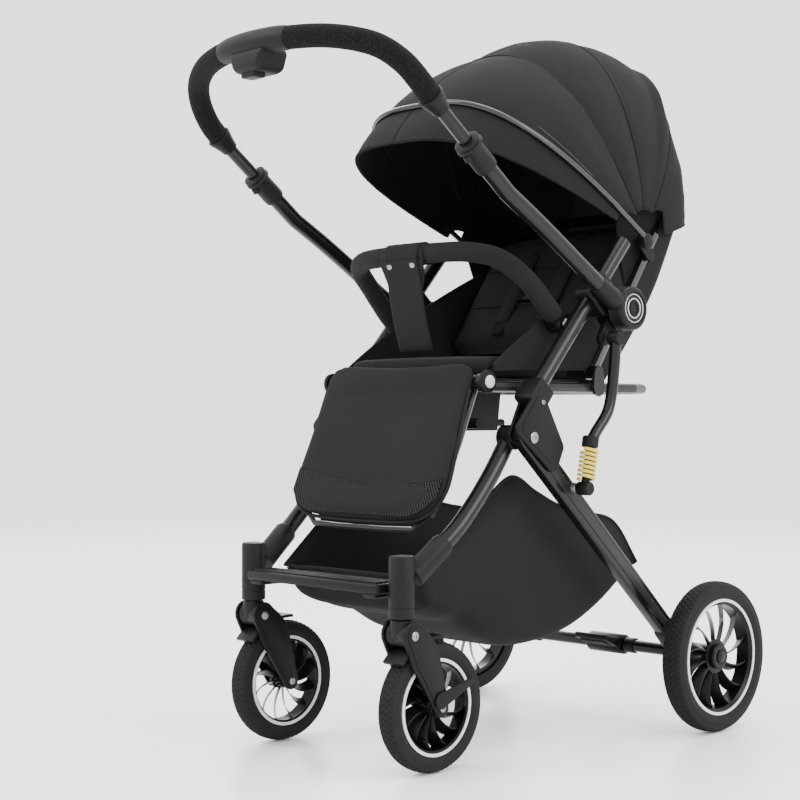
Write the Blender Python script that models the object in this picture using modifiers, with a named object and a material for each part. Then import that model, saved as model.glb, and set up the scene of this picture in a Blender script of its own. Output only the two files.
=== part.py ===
"""Baby stroller: folding legs, swivel front wheels, reclining back, two-way telescopic handle.

Metres, +Z up. The stroller faces -Y and its left side is +X. Side-view places are (y, z) pairs
measured from the middle of the wheelbase; the empty "stroller" carries them to the frame's
origin, which lies on the floor under the middle of the whole outline.
"""

import math

import bmesh
import bpy
from mathutils import Matrix, Vector

# Fits
GAP = 0.0004
PIN_CLEARANCE = 0.0004
ORIGIN_Y = 0.04555

# Wheels
REAR_AXLE = (0.259, 0.115)
REAR_RADIUS = 0.115
REAR_WHEEL_X = 0.259
REAR_TYRE_WIDTH = 0.036
REAR_RIM_RADIUS = 0.0905
FRONT_RADIUS = 0.0895
FRONT_TYRE_WIDTH = 0.032
FRONT_RIM_RADIUS = 0.0685
CASTER_X = 0.157
SWIVEL_Y = -0.314
FORK_PIVOT = (-0.312, 0.192)
FRONT_AXLE = (-0.259, FRONT_RADIUS)
AXLE_RADIUS = 0.006
FRONT_AXLE_RADIUS = 0.004

# Leg crossing and main frame
LEG_PIVOT = (-0.112, 0.455)
PIVOT_PIN_RADIUS = 0.0058
MAIN_TUBE_X = 0.195
MAIN_TUBE_RADIUS = 0.0125
MAIN_TUBE_LOW = (-0.094, 0.512)
MAIN_TUBE_LENGTH = 0.318
MAIN_TUBE_TILT = math.radians(48.2)
REAR_LEG_X = (0.190, 0.209)
REAR_LEG_HALF_WIDTH = 0.014
FRONT_LEG_X = 0.170
FRONT_LEG_RADIUS = 0.0125
BRACKET_INNER_X = (0.1830, 0.1885)
BRACKET_OUTER_X = (0.2105, 0.2165)
CLAMP_PLACE = 0.215

# Handle
HANDLE_PIVOT = (0.090, 0.645)
HANDLE_TUBE_RADIUS = 0.0125
HUB_OUTER_X = 0.2108
HUB_CLEARANCE = 0.0012
HANDLE_X = HUB_OUTER_X + HUB_CLEARANCE + 0.0005 + HANDLE_TUBE_RADIUS
HANDLE_INNER_RADIUS = 0.0098
HANDLE_FLANGE = (-0.257, 0.854)
HANDLE_RISE = math.radians(37.0)
HANDLE_BORE_DEPTH = 0.102
HANDLE_OVERLAP = 0.030
COLLAR_PLACE = 0.075
FOAM_RADIUS = 0.016
KNUCKLE_RADIUS = 0.0335
KNUCKLE_X = (HUB_OUTER_X + HUB_CLEARANCE, HANDLE_X + 0.0155)

# Suspension link
LINK_X = 0.230
LINK_TOP = (0.056, 0.600)
LINK_FOOT = (-0.017, 0.381)
LINK_TUBE_RADIUS = 0.0085
SPRING_RADIUS = 0.0122
SPRING_WIRE = 0.0022
SPRING_TURNS = 5.5

# Seat
SEAT_RAIL_X = 0.157
SEAT_RAIL_RADIUS = 0.008
SEAT_RAIL_Z = 0.527
SEAT_BACK_Y = 0.255
RAIL_INNER_X = SEAT_RAIL_X - SEAT_RAIL_RADIUS
SEAT_HALF_WIDTH = 0.147
FOOTREST_PIVOT = (-0.151, 0.534)
FOOTREST_LENGTH = 0.226
FOOTREST_TUBE_RADIUS = 0.0045
FOOTREST_CLEARANCE = 0.0005
FOOTREST_HANG = math.radians(246.7)

# Back and canopy
BACK_PIVOT = (0.090, 0.550)
BACK_TILT = math.radians(55.0)
BACK_LENGTH = 0.315
CANOPY_PIVOT = (0.200, 0.757)
CANOPY_RADIUS = 0.330
CANOPY_HALF_WIDTH = 0.173
CANOPY_STEP = 0.0035
CANOPY_CLOTH = 0.0025
CANOPY_INNER = 0.050

# Bumper bar
BUMPER_PIVOT = (0.000, 0.622)
BUMPER_X = 0.1685
BUMPER_RADIUS = 0.0135

SIDES = ((1, "left"), (-1, "right"))


# ---------------------------------------------------------------- scene and materials


def clear_scene():
    for obj in list(bpy.data.objects):
        bpy.data.objects.remove(obj)


def new_collection(name):
    collection = bpy.data.collections.new(name)
    bpy.context.scene.collection.children.link(collection)
    return collection


def new_material(name, colour, roughness, metallic):
    material = bpy.data.materials.new(name)
    material.use_nodes = True
    shader = material.node_tree.nodes["Principled BSDF"]
    shader.inputs["Base Color"].default_value = (*colour, 1.0)
    shader.inputs["Roughness"].default_value = roughness
    shader.inputs["Metallic"].default_value = metallic
    return material


def new_pivot(name, x, y, z):
    """An empty on a joint's axis, carried by the stroller's own empty."""
    empty = bpy.data.objects.new(name, None)
    empty.empty_display_size = 0.02
    PARTS.objects.link(empty)
    empty.location = (x, y, z)
    empty.parent = STROLLER
    return empty


def finish(obj, name, body, material):
    """Names a piece, gives it its material and hangs it on its joint's empty."""
    obj.name = name
    obj.data.name = name
    obj.data.materials.clear()
    obj.data.materials.append(material)
    obj.parent = BODIES[body]
    obj.matrix_parent_inverse = Matrix.Translation(-BODIES[body].location)
    if obj.type == "MESH":
        obj.data.shade_smooth()
        obj.data.set_sharp_from_angle(angle=math.radians(35.0))
    return obj


# ---------------------------------------------------------------- shapes


def mesh_object(bm):
    mesh = bpy.data.meshes.new("piece")
    bm.to_mesh(mesh)
    bm.free()
    obj = bpy.data.objects.new("piece", mesh)
    PARTS.objects.link(obj)
    obj.parent = STROLLER
    return obj


def polyline(points, cyclic=False):
    curve = bpy.data.curves.new("path", "CURVE")
    curve.dimensions = "3D"
    spline = curve.splines.new("POLY")
    spline.points.add(len(points) - 1)
    for place, point in zip(spline.points, points):
        place.co = (*point, 1.0)
    spline.use_cyclic_u = cyclic
    obj = bpy.data.objects.new("path", curve)
    PARTS.objects.link(obj)
    obj.parent = STROLLER
    return obj


def smooth_path(points, steps=4):
    """A smooth run through the given points, with a few points between each two."""
    ends = [2 * Vector(points[0]) - Vector(points[1])]
    ends += [Vector(point) for point in points]
    ends += [2 * Vector(points[-1]) - Vector(points[-2])]
    path = []
    for a, b, c, d in zip(ends, ends[1:], ends[2:], ends[3:]):
        for step in range(steps):
            t = step / steps
            path.append(
                0.5
                * (
                    2 * b
                    + (c - a) * t
                    + (2 * a - 5 * b + 4 * c - d) * t * t
                    + (3 * b - a - 3 * c + d) * t * t * t
                )
            )
    path.append(ends[-2])
    return path


def tube(points, radius, cyclic=False, sides_level=2):
    obj = polyline(points, cyclic)
    obj.data.bevel_depth = radius
    obj.data.bevel_resolution = sides_level
    obj.data.use_fill_caps = not cyclic
    return obj


def as_mesh(obj):
    """The mesh of a curve object, with its caps welded, in place of the curve."""
    bpy.context.view_layer.update()
    evaluated = obj.evaluated_get(bpy.context.evaluated_depsgraph_get())
    mesh = bpy.data.meshes.new_from_object(evaluated)
    bm = bmesh.new()
    bm.from_mesh(mesh)
    bmesh.ops.remove_doubles(bm, verts=bm.verts, dist=0.00001)
    bmesh.ops.recalc_face_normals(bm, faces=bm.faces)
    bpy.data.meshes.remove(mesh)
    solid = mesh_object(bm)
    solid.matrix_basis = obj.matrix_basis
    bpy.data.objects.remove(obj)
    return solid


def rounded(outline, radius, steps=2):
    """The outline with each corner replaced by an arc of the given radius."""
    points = []
    count = len(outline)
    for index, corner in enumerate(outline):
        corner = Vector(corner)
        before = (Vector(outline[index - 1]) - corner).normalized()
        after = (Vector(outline[(index + 1) % count]) - corner).normalized()
        half = before.angle(after) / 2
        run = radius / math.tan(half)
        centre = corner + (before + after).normalized() * radius / math.sin(half)
        start = corner + before * run - centre
        end = corner + after * run - centre
        for step in range(steps + 1):
            turn = start.lerp(end, step / steps).normalized() * radius
            points.append(tuple(centre + turn))
    return points


def circle(centre, radius, count=28):
    turns = [2 * math.pi * step / count for step in range(count)]
    return [(centre[0] + radius * math.cos(t), centre[1] + radius * math.sin(t)) for t in turns]


def capsule(start, end, radius_start, radius_end, steps=4):
    """The outline of a bar with a round end at each of two (y, z) places."""
    along = math.atan2(end[1] - start[1], end[0] - start[0])
    points = []
    for step in range(steps + 1):
        t = along + math.pi / 2 + math.pi * step / steps
        points.append((start[0] + radius_start * math.cos(t), start[1] + radius_start * math.sin(t)))
    for step in range(steps + 1):
        t = along - math.pi / 2 + math.pi * step / steps
        points.append((end[0] + radius_end * math.cos(t), end[1] + radius_end * math.sin(t)))
    return points


def plate(outline, x_low, x_high, holes=()):
    """A flat piece: a (y, z) outline, and any holes, filled between two x places."""
    curve = bpy.data.curves.new("outline", "CURVE")
    curve.dimensions = "2D"
    curve.fill_mode = "BOTH"
    curve.extrude = (x_high - x_low) / 2
    for loop in (outline, *holes):
        spline = curve.splines.new("POLY")
        spline.points.add(len(loop) - 1)
        for place, point in zip(spline.points, loop):
            place.co = (point[0], point[1], 0.0, 1.0)
        spline.use_cyclic_u = True
    obj = bpy.data.objects.new("outline", curve)
    PARTS.objects.link(obj)
    obj.parent = STROLLER
    obj.matrix_basis = Matrix(
        ((0, 0, 1, (x_low + x_high) / 2), (1, 0, 0, 0), (0, 1, 0, 0), (0, 0, 0, 1))
    )
    return as_mesh(obj)


def rod(start, end, radius, segments=12, end_radius=None):
    """A round bar between two points, or a cone where its far end differs."""
    start = Vector(start)
    end = Vector(end)
    bm = bmesh.new()
    bmesh.ops.create_cone(
        bm,
        cap_ends=True,
        segments=segments,
        radius1=radius,
        radius2=radius if end_radius is None else end_radius,
        depth=(end - start).length,
    )
    turn = Vector((0, 0, 1)).rotation_difference(end - start).to_matrix().to_4x4()
    bmesh.ops.transform(bm, matrix=Matrix.Translation((start + end) / 2) @ turn, verts=bm.verts)
    return mesh_object(bm)


def pin(x_low, x_high, place, radius, segments=12):
    return rod((x_low, *place), (x_high, *place), radius, segments)


def box(low, high, rounding=0.0):
    low = Vector(low)
    high = Vector(high)
    bm = bmesh.new()
    bmesh.ops.create_cube(bm, size=1.0)
    bmesh.ops.scale(bm, vec=high - low, verts=bm.verts)
    bmesh.ops.translate(bm, vec=(low + high) / 2, verts=bm.verts)
    if rounding:
        bmesh.ops.bevel(
            bm,
            geom=bm.edges[:],
            offset=rounding,
            segments=2,
            profile=0.5,
            affect="EDGES",
            material=-1,
        )
    return mesh_object(bm)


def turned(profile, x_centre, place, steps=28, closed=True):
    """A shape turned about an axle along X: (radius, x) pairs that run down its outer side."""
    mesh = bpy.data.meshes.new("profile")
    count = len(profile)
    edges = [(i, i + 1) for i in range(count - 1)]
    if closed:
        edges.append((count - 1, 0))
    mesh.from_pydata([(radius, 0, x) for radius, x in profile], edges, [])
    obj = bpy.data.objects.new("profile", mesh)
    PARTS.objects.link(obj)
    obj.parent = STROLLER
    screw = obj.modifiers.new("Turn", "SCREW")
    screw.steps = steps
    screw.render_steps = steps
    screw.use_merge_vertices = True
    screw.merge_threshold = 0.00001
    screw.use_normal_calculate = True
    obj.matrix_basis = Matrix.Translation((x_centre, *place)) @ Matrix.Rotation(
        math.pi / 2, 4, "Y"
    )
    return as_mesh(obj)


def boolean(obj, other, operation):
    """Joins or cuts with a helper, which stays in the cutters collection."""
    PARTS.objects.unlink(other)
    CUTTERS.objects.link(other)
    other.hide_render = True
    other.display_type = "WIRE"
    modifier = obj.modifiers.new(operation.title(), "BOOLEAN")
    modifier.operation = operation
    modifier.object = other
    return obj


def join(obj, *others):
    for other in others:
        boolean(obj, other, "UNION")
    return obj


def cut(obj, *others):
    for other in others:
        boolean(obj, other, "DIFFERENCE")
    return obj


def on_line(place, angle, distance, offset=0.0):
    """The (y, z) place at a distance along a direction, and offset to its right."""
    along = Vector((math.cos(angle), math.sin(angle)))
    across = Vector((math.sin(angle), -math.cos(angle)))
    return tuple(Vector(place) + along * distance + across * offset)


def slab(place, angle, start, end, low, high):
    """A rectangle in side view, along a direction from a place."""
    return [
        on_line(place, angle, start, low),
        on_line(place, angle, end, low),
        on_line(place, angle, end, high),
        on_line(place, angle, start, high),
    ]


def span(side, a, b):
    """Two x places on one side of the stroller, in rising order."""
    return tuple(sorted((side * a, side * b)))


# ---------------------------------------------------------------- main frame


def main_tube(side, name):
    end = on_line(MAIN_TUBE_LOW, MAIN_TUBE_TILT, MAIN_TUBE_LENGTH)
    piece = rod(
        (side * MAIN_TUBE_X, *MAIN_TUBE_LOW), (side * MAIN_TUBE_X, *end), MAIN_TUBE_RADIUS, 16
    )
    finish(piece, f"main_tube_{name}", "frame", GUNMETAL)


def main_tube_bore(side, start, end):
    low = on_line(MAIN_TUBE_LOW, MAIN_TUBE_TILT, start)
    high = on_line(MAIN_TUBE_LOW, MAIN_TUBE_TILT, end)
    x = side * MAIN_TUBE_X
    return rod((x, *low), (x, *high), MAIN_TUBE_RADIUS + GAP, 16)


def cross_bracket(side, name):
    """The two-sided bracket where both legs turn on one pin, with the main tube's socket."""
    kite = [(-0.096, 0.531), (-0.044, 0.441), (-0.064, 0.399), (-0.152, 0.466)]
    piece = plate(rounded(kite, 0.009), *span(side, *BRACKET_OUTER_X))
    inner = [(-0.096, 0.531), (-0.070, 0.495), (-0.092, 0.438), (-0.136, 0.452)]
    block = slab(MAIN_TUBE_LOW, MAIN_TUBE_TILT, -0.017, 0.022, -0.019, 0.019)
    stub = on_line(MAIN_TUBE_LOW, MAIN_TUBE_TILT, 0.012)
    join(
        piece,
        plate(rounded(inner, 0.009), *span(side, *BRACKET_INNER_X)),
        plate(rounded(block, 0.004, 2), *span(side, BRACKET_INNER_X[0] - 0.0006, 0.2160)),
        pin(*span(side, CASTER_X + 0.0030, 0.2172), LEG_PIVOT, PIVOT_PIN_RADIUS),
        pin(*span(side, 0.2150, 0.2174), LEG_PIVOT, 0.010),
        pin(*span(side, SEAT_RAIL_X + SEAT_RAIL_RADIUS + GAP, 0.1850), stub, 0.007, 16),
    )
    cut(piece, main_tube_bore(side, -GAP, 0.05))
    finish(piece, f"cross_bracket_{name}", "frame", BLACK_PLASTIC)


def hub_mount(side, name):
    """Clamps on the main tube and carries the handle's pin and the link's pin."""
    x_out = HUB_OUTER_X
    piece = pin(*span(side, 0.1845, x_out), HANDLE_PIVOT, 0.031, 20)
    clamp = slab(MAIN_TUBE_LOW, MAIN_TUBE_TILT, CLAMP_PLACE - 0.026, CLAMP_PLACE + 0.026, -0.019, 0.036)
    join(
        piece,
        plate(rounded(clamp, 0.006, 3), *span(side, 0.1790, x_out - 0.0006)),
        plate(capsule(HANDLE_PIVOT, LINK_TOP, 0.014, 0.010), *span(side, 0.2000, x_out - 0.0003)),
        pin(*span(side, 0.2000, HANDLE_X + 0.0110), HANDLE_PIVOT, 0.008),
        pin(*span(side, 0.2020, 0.2395), LINK_TOP, 0.0045, 12),
    )
    cut(piece, main_tube_bore(side, CLAMP_PLACE - 0.05, CLAMP_PLACE + 0.05))
    finish(piece, f"hub_mount_{name}", "frame", BLACK_PLASTIC)


def seat_rail():
    """The U-shaped tube under the seat, with the footrest's pins and the back's hinge ears."""
    x = SEAT_RAIL_X
    half = [(x, FOOTREST_PIVOT[0]), (x, 0.10), (x, 0.190), (x - 0.012, 0.228)]
    half += [(x - 0.045, 0.250), (0.055, SEAT_BACK_Y)]
    run = half + [(-a, b) for a, b in reversed(half)]
    path = smooth_path([(a, b, SEAT_RAIL_Z) for a, b in run], 1)
    piece = as_mesh(tube(path, SEAT_RAIL_RADIUS))
    cross = (-0.112, SEAT_RAIL_Z)
    join(piece, pin(-x, x, cross, 0.007, 12))
    for side, _ in SIDES:
        ear = capsule((BACK_PIVOT[0], SEAT_RAIL_Z), BACK_PIVOT, 0.013, 0.011)
        join(
            piece,
            pin(*span(side, RAIL_INNER_X, 0.165), FOOTREST_PIVOT, 0.012, 14),
            pin(*span(side, 0.1395, 0.155), FOOTREST_PIVOT, 0.004, 16),
            plate(ear, *span(side, 0.1665, 0.1715)),
            pin(*span(side, 0.1500, 0.1690), BACK_PIVOT, 0.004, 16),
            pin(*span(side, 0.1550, 0.1690), (BACK_PIVOT[0], SEAT_RAIL_Z), 0.006, 16),
        )
    finish(piece, "seat_rail", "frame", GREY_METAL)


def seat():
    top = SEAT_RAIL_Z + SEAT_RAIL_RADIUS + GAP
    board = box((-0.145, -0.130, top), (0.145, 0.072, top + 0.004))
    guide = plate(
        [(-0.045, 0.462), (0.035, 0.462), (0.045, top + 0.002), (-0.055, top + 0.002)],
        -0.013,
        0.013,
    )
    join(board, guide)
    cut(board, rod((0, -0.08, PULL_PLACE[1]), (0, 0.08, PULL_PLACE[1]), 0.006 + GAP, 16))
    finish(board, "seat_board", "frame", BLACK_PLASTIC)
    cushion_base = top + 0.004 + GAP
    cushion = box(
        (-SEAT_HALF_WIDTH, -0.132, cushion_base), (SEAT_HALF_WIDTH, 0.068, cushion_base + 0.034), 0.010
    )
    finish(cushion, "seat_cushion", "frame", SEAT_FABRIC)
    wing = [(-0.125, 0.548), (0.060, 0.548), (0.066, 0.598), (-0.030, 0.598), (-0.110, 0.570)]
    for side, name in SIDES:
        piece = plate(rounded(wing, 0.006, 2), *span(side, 0.1485, 0.1515))
        finish(piece, f"side_wing_{name}", "frame", SEAT_FABRIC)


def crotch_strap():
    start = (-0.150, 0.704)
    end = (-0.126, 0.580)
    angle = math.atan2(end[1] - start[1], end[0] - start[0])
    length = (Vector(end) - Vector(start)).length
    piece = plate(slab(start, angle, 0, length, -0.0015, 0.0015), -0.019, 0.019)
    finish(piece, "crotch_strap", "frame", SEAT_FABRIC)


def pull_handle():
    piece = pin(-0.105, 0.105, PULL_PLACE, 0.0075, 16)
    join(piece, rod((0, PULL_PLACE[0], PULL_PLACE[1]), (0, 0.060, PULL_PLACE[1]), 0.006, 16))
    finish(piece, "pull_handle", "pull_handle", BLACK_PLASTIC)


# ---------------------------------------------------------------- suspension links


def suspension_link(side, name):
    """A bent tube from the hub down to the coil spring's eye on the rear leg."""
    x = side * LINK_X
    collar = (-0.004, 0.447)
    path = smooth_path(
        [(x, *LINK_TOP), (x, 0.050, 0.545), (x, 0.038, 0.495), (x, 0.010, 0.463), (x, *collar)], 3
    )
    piece = as_mesh(tube(path, LINK_TUBE_RADIUS, sides_level=2))
    reach = Vector(LINK_FOOT) - Vector(collar)
    mid = tuple(Vector(collar) + reach * 0.12)
    join(
        piece,
        pin(*span(side, LINK_X - 0.0095, LINK_X + 0.0095), LINK_TOP, 0.0110, 14),
        rod((x, *collar), (x, *mid), 0.0115, 14),
        rod((x, *mid), (x, *LINK_FOOT), 0.0060, 10),
        pin(*span(side, LINK_X - 0.0105, LINK_X + 0.0105), LINK_FOOT, 0.0100, 14),
    )
    cut(piece, pin(*span(side, 0.21, 0.25), LINK_TOP, 0.0045 + PIN_CLEARANCE, 12))
    finish(piece, f"suspension_link_{name}", f"link_{name}", GUNMETAL)
    start = Vector(collar) + reach * 0.12 + reach.normalized() * (SPRING_WIRE + GAP)
    stop = Vector(LINK_FOOT) - reach.normalized() * (0.0100 + SPRING_WIRE + 2 * GAP)
    centre_line = SPRING_RADIUS - SPRING_WIRE
    across = Vector((reach.y, -reach.x)).normalized()
    count = round(SPRING_TURNS * 6)
    coil = []
    for step in range(count + 1):
        t = step / count
        turn = 2 * math.pi * SPRING_TURNS * t
        centre = start.lerp(stop, t) + across * centre_line * math.cos(turn)
        coil.append((x + centre_line * math.sin(turn), centre.x, centre.y))
    spring = tube(coil, SPRING_WIRE, sides_level=2)
    spring.data.bevel_resolution = 1
    finish(spring, f"coil_spring_{name}", f"link_{name}", SPRING_YELLOW)


# ---------------------------------------------------------------- wheels


def tyre(radius, rim_radius, width, x_centre, place):
    """A rounded tread over straight walls, seated on the rim with a small gap."""
    half = width / 2
    inner = rim_radius + GAP
    crown = [
        (inner, half - 0.002),
        (radius - 0.009, half),
        (radius, half - 0.008),
        (radius, 0.008 - half),
        (radius - 0.009, -half),
        (inner, 0.002 - half),
    ]
    return turned(crown, x_centre, place)


def window(place, inner, outer, middle, half_angle, steps=1):
    """One opening between two spokes."""
    points = []
    for step in range(steps + 1):
        t = middle - half_angle + 2 * half_angle * step / steps
        points.append((place[0] + outer * math.cos(t), place[1] + outer * math.sin(t)))
    for step in range(steps + 1):
        t = middle + (half_angle - 2 * half_angle * step / steps) * 0.62 + 0.18
        points.append((place[0] + inner * math.cos(t), place[1] + inner * math.sin(t)))
    return points


def spoked_rim(rim_radius, width, hub_radius, hub_x, bore, x_centre, place, spokes):
    wall = 0.010
    gaps = [
        window(
            place,
            hub_radius + 0.006,
            rim_radius - wall,
            2 * math.pi * index / spokes,
            math.pi / spokes * 0.66,
        )
        for index in range(spokes)
    ]
    half = width / 2
    piece = plate(circle(place, rim_radius), x_centre - half, x_centre + half, gaps)
    join(piece, pin(*sorted(hub_x), place, hub_radius))
    cut(piece, pin(min(hub_x) - 0.01, max(hub_x) + 0.01, place, bore))
    return piece


def rear_wheel(side, name):
    x = side * REAR_WHEEL_X
    hub_x = span(side, 0.2115, REAR_WHEEL_X + 0.015)
    rim = spoked_rim(
        REAR_RIM_RADIUS, 0.014, 0.017, hub_x, AXLE_RADIUS + PIN_CLEARANCE, x, REAR_AXLE, 10
    )
    finish(rim, f"rear_rim_{name}", f"rear_wheel_{name}", RIM_PLASTIC)
    rubber = tyre(REAR_RADIUS, REAR_RIM_RADIUS, REAR_TYRE_WIDTH, x, REAR_AXLE)
    finish(rubber, f"rear_tyre_{name}", f"rear_wheel_{name}", RUBBER)


def front_wheel(side, name):
    x = side * CASTER_X
    hub_x = (x - 0.0165, x + 0.0165)
    bore = FRONT_AXLE_RADIUS + PIN_CLEARANCE
    rim = spoked_rim(FRONT_RIM_RADIUS, 0.012, 0.013, hub_x, bore, x, FRONT_AXLE, 10)
    finish(rim, f"front_rim_{name}", f"front_wheel_{name}", RIM_PLASTIC)
    rubber = tyre(FRONT_RADIUS, FRONT_RIM_RADIUS, FRONT_TYRE_WIDTH, x, FRONT_AXLE)
    finish(rubber, f"front_tyre_{name}", f"front_wheel_{name}", RUBBER)


# ---------------------------------------------------------------- rear legs


def rear_leg(side, name):
    piece = plate(
        capsule(LEG_PIVOT, REAR_AXLE, 0.0175, REAR_LEG_HALF_WIDTH), *span(side, *REAR_LEG_X)
    )
    angle = math.atan2(LEG_PIVOT[1] - REAR_AXLE[1], LEG_PIVOT[0] - REAR_AXLE[0])
    sleeve = capsule(REAR_AXLE, on_line(REAR_AXLE, angle, 0.060), 0.0190, 0.0165)
    join(
        piece,
        plate(sleeve, *span(side, REAR_LEG_X[0] - 0.0012, REAR_LEG_X[1] + 0.0012)),
        pin(*span(side, REAR_LEG_X[0] + 0.004, LINK_X - 0.0126), LINK_FOOT, 0.0065, 16),
    )
    cut(
        piece,
        pin(*span(side, 0.17, 0.23), LEG_PIVOT, PIVOT_PIN_RADIUS + PIN_CLEARANCE),
        pin(*span(side, 0.17, 0.23), REAR_AXLE, AXLE_RADIUS + PIN_CLEARANCE),
    )
    finish(piece, f"rear_leg_{name}", "rear_legs", GUNMETAL)


def rear_axle():
    end = REAR_WHEEL_X + 0.0145
    shoulder = REAR_LEG_X[0] - 0.0018
    profile = [
        (0.0, end),
        (AXLE_RADIUS, end),
        (AXLE_RADIUS, shoulder),
        (0.0095, shoulder),
        (0.0095, -shoulder),
        (AXLE_RADIUS, -shoulder),
        (AXLE_RADIUS, -end),
        (0.0, -end),
    ]
    piece = turned(profile, 0.0, REAR_AXLE, 16, closed=False)
    finish(piece, "rear_axle", "rear_legs", GREY_METAL)


def brake_pedal():
    piece = pin(0.018, 0.088, REAR_AXLE, 0.0155)
    reach = on_line(REAR_AXLE, math.radians(162.0), 0.046)
    tread = plate(capsule(REAR_AXLE, reach, 0.0085, 0.0050), 0.020, 0.086)
    join(piece, tread)
    cut(piece, pin(0.0, 0.11, REAR_AXLE, 0.0101))
    finish(piece, "brake_pedal", "brake_pedal", BLACK_PLASTIC)


def basket():
    """An open-topped bag slung between the legs, deepest under the seat."""
    outline = [
        (-0.262, 0.262),
        (-0.256, 0.224),
        (-0.225, 0.2165),
        (-0.165, 0.2140),
        (-0.110, 0.172),
        (-0.045, 0.147),
        (0.050, 0.153),
        (0.130, 0.190),
        (0.212, 0.252),
        (0.160, 0.322),
        (0.020, 0.352),
        (-0.085, 0.400),
        (-0.150, 0.350),
    ]
    body = plate(outline, -0.148, 0.148)
    wall = 0.003
    inner = [
        (-0.275, 0.30),
        (-0.262 + wall, 0.264),
        (-0.253 + wall, 0.2265),
        (-0.225, 0.2165 + wall),
        (-0.164, 0.2140 + wall),
        (-0.109, 0.172 + wall),
        (-0.045, 0.147 + wall),
        (0.050, 0.153 + wall),
        (0.130, 0.190 + 1.2 * wall),
        (0.212 - 1.6 * wall, 0.252),
        (0.160 - 1.3 * wall, 0.322),
        (0.150, 0.45),
        (-0.200, 0.45),
    ]
    cut(body, plate(inner, -0.148 + wall, 0.148 - wall))
    finish(body, "basket", "rear_legs", BASKET_MESH)


# ---------------------------------------------------------------- front legs and casters


def front_leg(side, name):
    x = side * FRONT_LEG_X
    bend = [(x, *LEG_PIVOT), (x, -0.150, 0.404), (x, -0.194, 0.355)]
    bend += [(side * 0.1680, -0.232, 0.3190), (side * SOCKET_END[0], *SOCKET_END[1:])]
    piece = as_mesh(tube(smooth_path(bend, 3), FRONT_LEG_RADIUS))
    join(piece, pin(*span(side, 0.1610, 0.1825), LEG_PIVOT, 0.0180))
    cut(piece, pin(*span(side, 0.15, 0.20), LEG_PIVOT, PIVOT_PIN_RADIUS + PIN_CLEARANCE))
    finish(piece, f"front_leg_{name}", "front_legs", GUNMETAL)


def caster_housing(side, name):
    x = side * CASTER_X
    piece = rod((x, SWIVEL_Y, 0.213), (x, SWIVEL_Y, 0.298), 0.0175, 20)
    mouth = Vector((side * 0.1665, -0.2420, 0.3112))
    end = Vector((side * SOCKET_END[0], *SOCKET_END[1:]))
    along = (end - mouth).normalized()
    join(piece, rod(mouth, end + along * 0.012, 0.0165))
    cut(
        piece,
        rod(mouth - along * 0.02, end + along * 0.0015, FRONT_LEG_RADIUS + 0.0012),
        rod((x, SWIVEL_Y, 0.20), (x, SWIVEL_Y, 0.266), 0.006 + PIN_CLEARANCE),
    )
    finish(piece, f"caster_housing_{name}", "front_legs", BLACK_PLASTIC)


def foot_tray():
    x = CASTER_X - 0.0175 - 0.0006
    piece = box((-x, -0.342, 0.246), (x, -0.296, 0.262), 0.003)
    finish(piece, "foot_tray", "front_legs", BLACK_PLASTIC)


def caster_head(side, name):
    x = side * CASTER_X
    piece = pin(x - 0.0175, x + 0.0175, FORK_PIVOT, 0.0165, 20)
    join(piece, rod((x, SWIVEL_Y, 0.196), (x, SWIVEL_Y, 0.262), 0.006))
    bore = FRONT_AXLE_RADIUS + PIN_CLEARANCE
    cut(piece, pin(x - 0.03, x + 0.03, FORK_PIVOT, bore))
    finish(piece, f"caster_head_{name}", f"caster_{name}", BLACK_PLASTIC)


def fork(side, name):
    """Two arched blades on the swivel's cross pin, holding the wheel's axle."""
    x = side * CASTER_X
    shoulder = (-0.276, 0.184)
    axle = pin(x - 0.0240, x + 0.0240, FRONT_AXLE, FRONT_AXLE_RADIUS, 12)
    for blade in (-1, 1):
        low, high = span(blade, 0.0184, 0.0230)
        outer = capsule(FORK_PIVOT, shoulder, 0.0130, 0.0095)
        lower = capsule(shoulder, FRONT_AXLE, 0.0095, 0.0110)
        half = len(outer) // 2
        arch = outer[:half] + [(-0.296, 0.172)] + lower[half:] + outer[half + 1 :]
        join(axle, plate(arch, x + low, x + high))
    join(
        axle,
        pin(x - 0.0235, x + 0.0235, FORK_PIVOT, FRONT_AXLE_RADIUS, 12),
        pin(x - 0.0200, x + 0.0200, shoulder, 0.0045, 8),
    )
    finish(axle, f"caster_fork_{name}", f"fork_{name}", BLACK_PLASTIC)


# ---------------------------------------------------------------- footrest


def footrest():
    x = RAIL_INNER_X - FOOTREST_CLEARANCE - FOOTREST_TUBE_RADIUS
    hang = FOOTREST_HANG
    run = []
    for across, down in ((x, 0.0), (x, 0.09), (x - 0.004, 0.17), (x - 0.012, 0.205)):
        run.append((across, *on_line(FOOTREST_PIVOT, hang, down)))
    run.append((x - 0.040, *on_line(FOOTREST_PIVOT, hang, FOOTREST_LENGTH)))
    run.append((0.045, *on_line(FOOTREST_PIVOT, hang, FOOTREST_LENGTH + 0.002)))
    path = run + [(-a, b, c) for a, b, c in reversed(run)]
    piece = as_mesh(tube(smooth_path(path, 1), FOOTREST_TUBE_RADIUS, sides_level=1))
    for side, _ in SIDES:
        join(piece, pin(*span(side, 0.1400, RAIL_INNER_X - FOOTREST_CLEARANCE), FOOTREST_PIVOT, 0.0100, 14))
        cut(piece, pin(*span(side, 0.13, 0.16), FOOTREST_PIVOT, 0.004 + PIN_CLEARANCE, 16))
    finish(piece, "footrest_frame", "footrest", GREY_METAL)
    pad = plate(
        rounded(slab(FOOTREST_PIVOT, hang, 0.016, 0.200, -0.007, 0.007), 0.005, 2), -0.126, 0.126
    )
    finish(pad, "footrest_pad", "footrest", SEAT_FABRIC)


# ---------------------------------------------------------------- bumper bar


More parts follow.
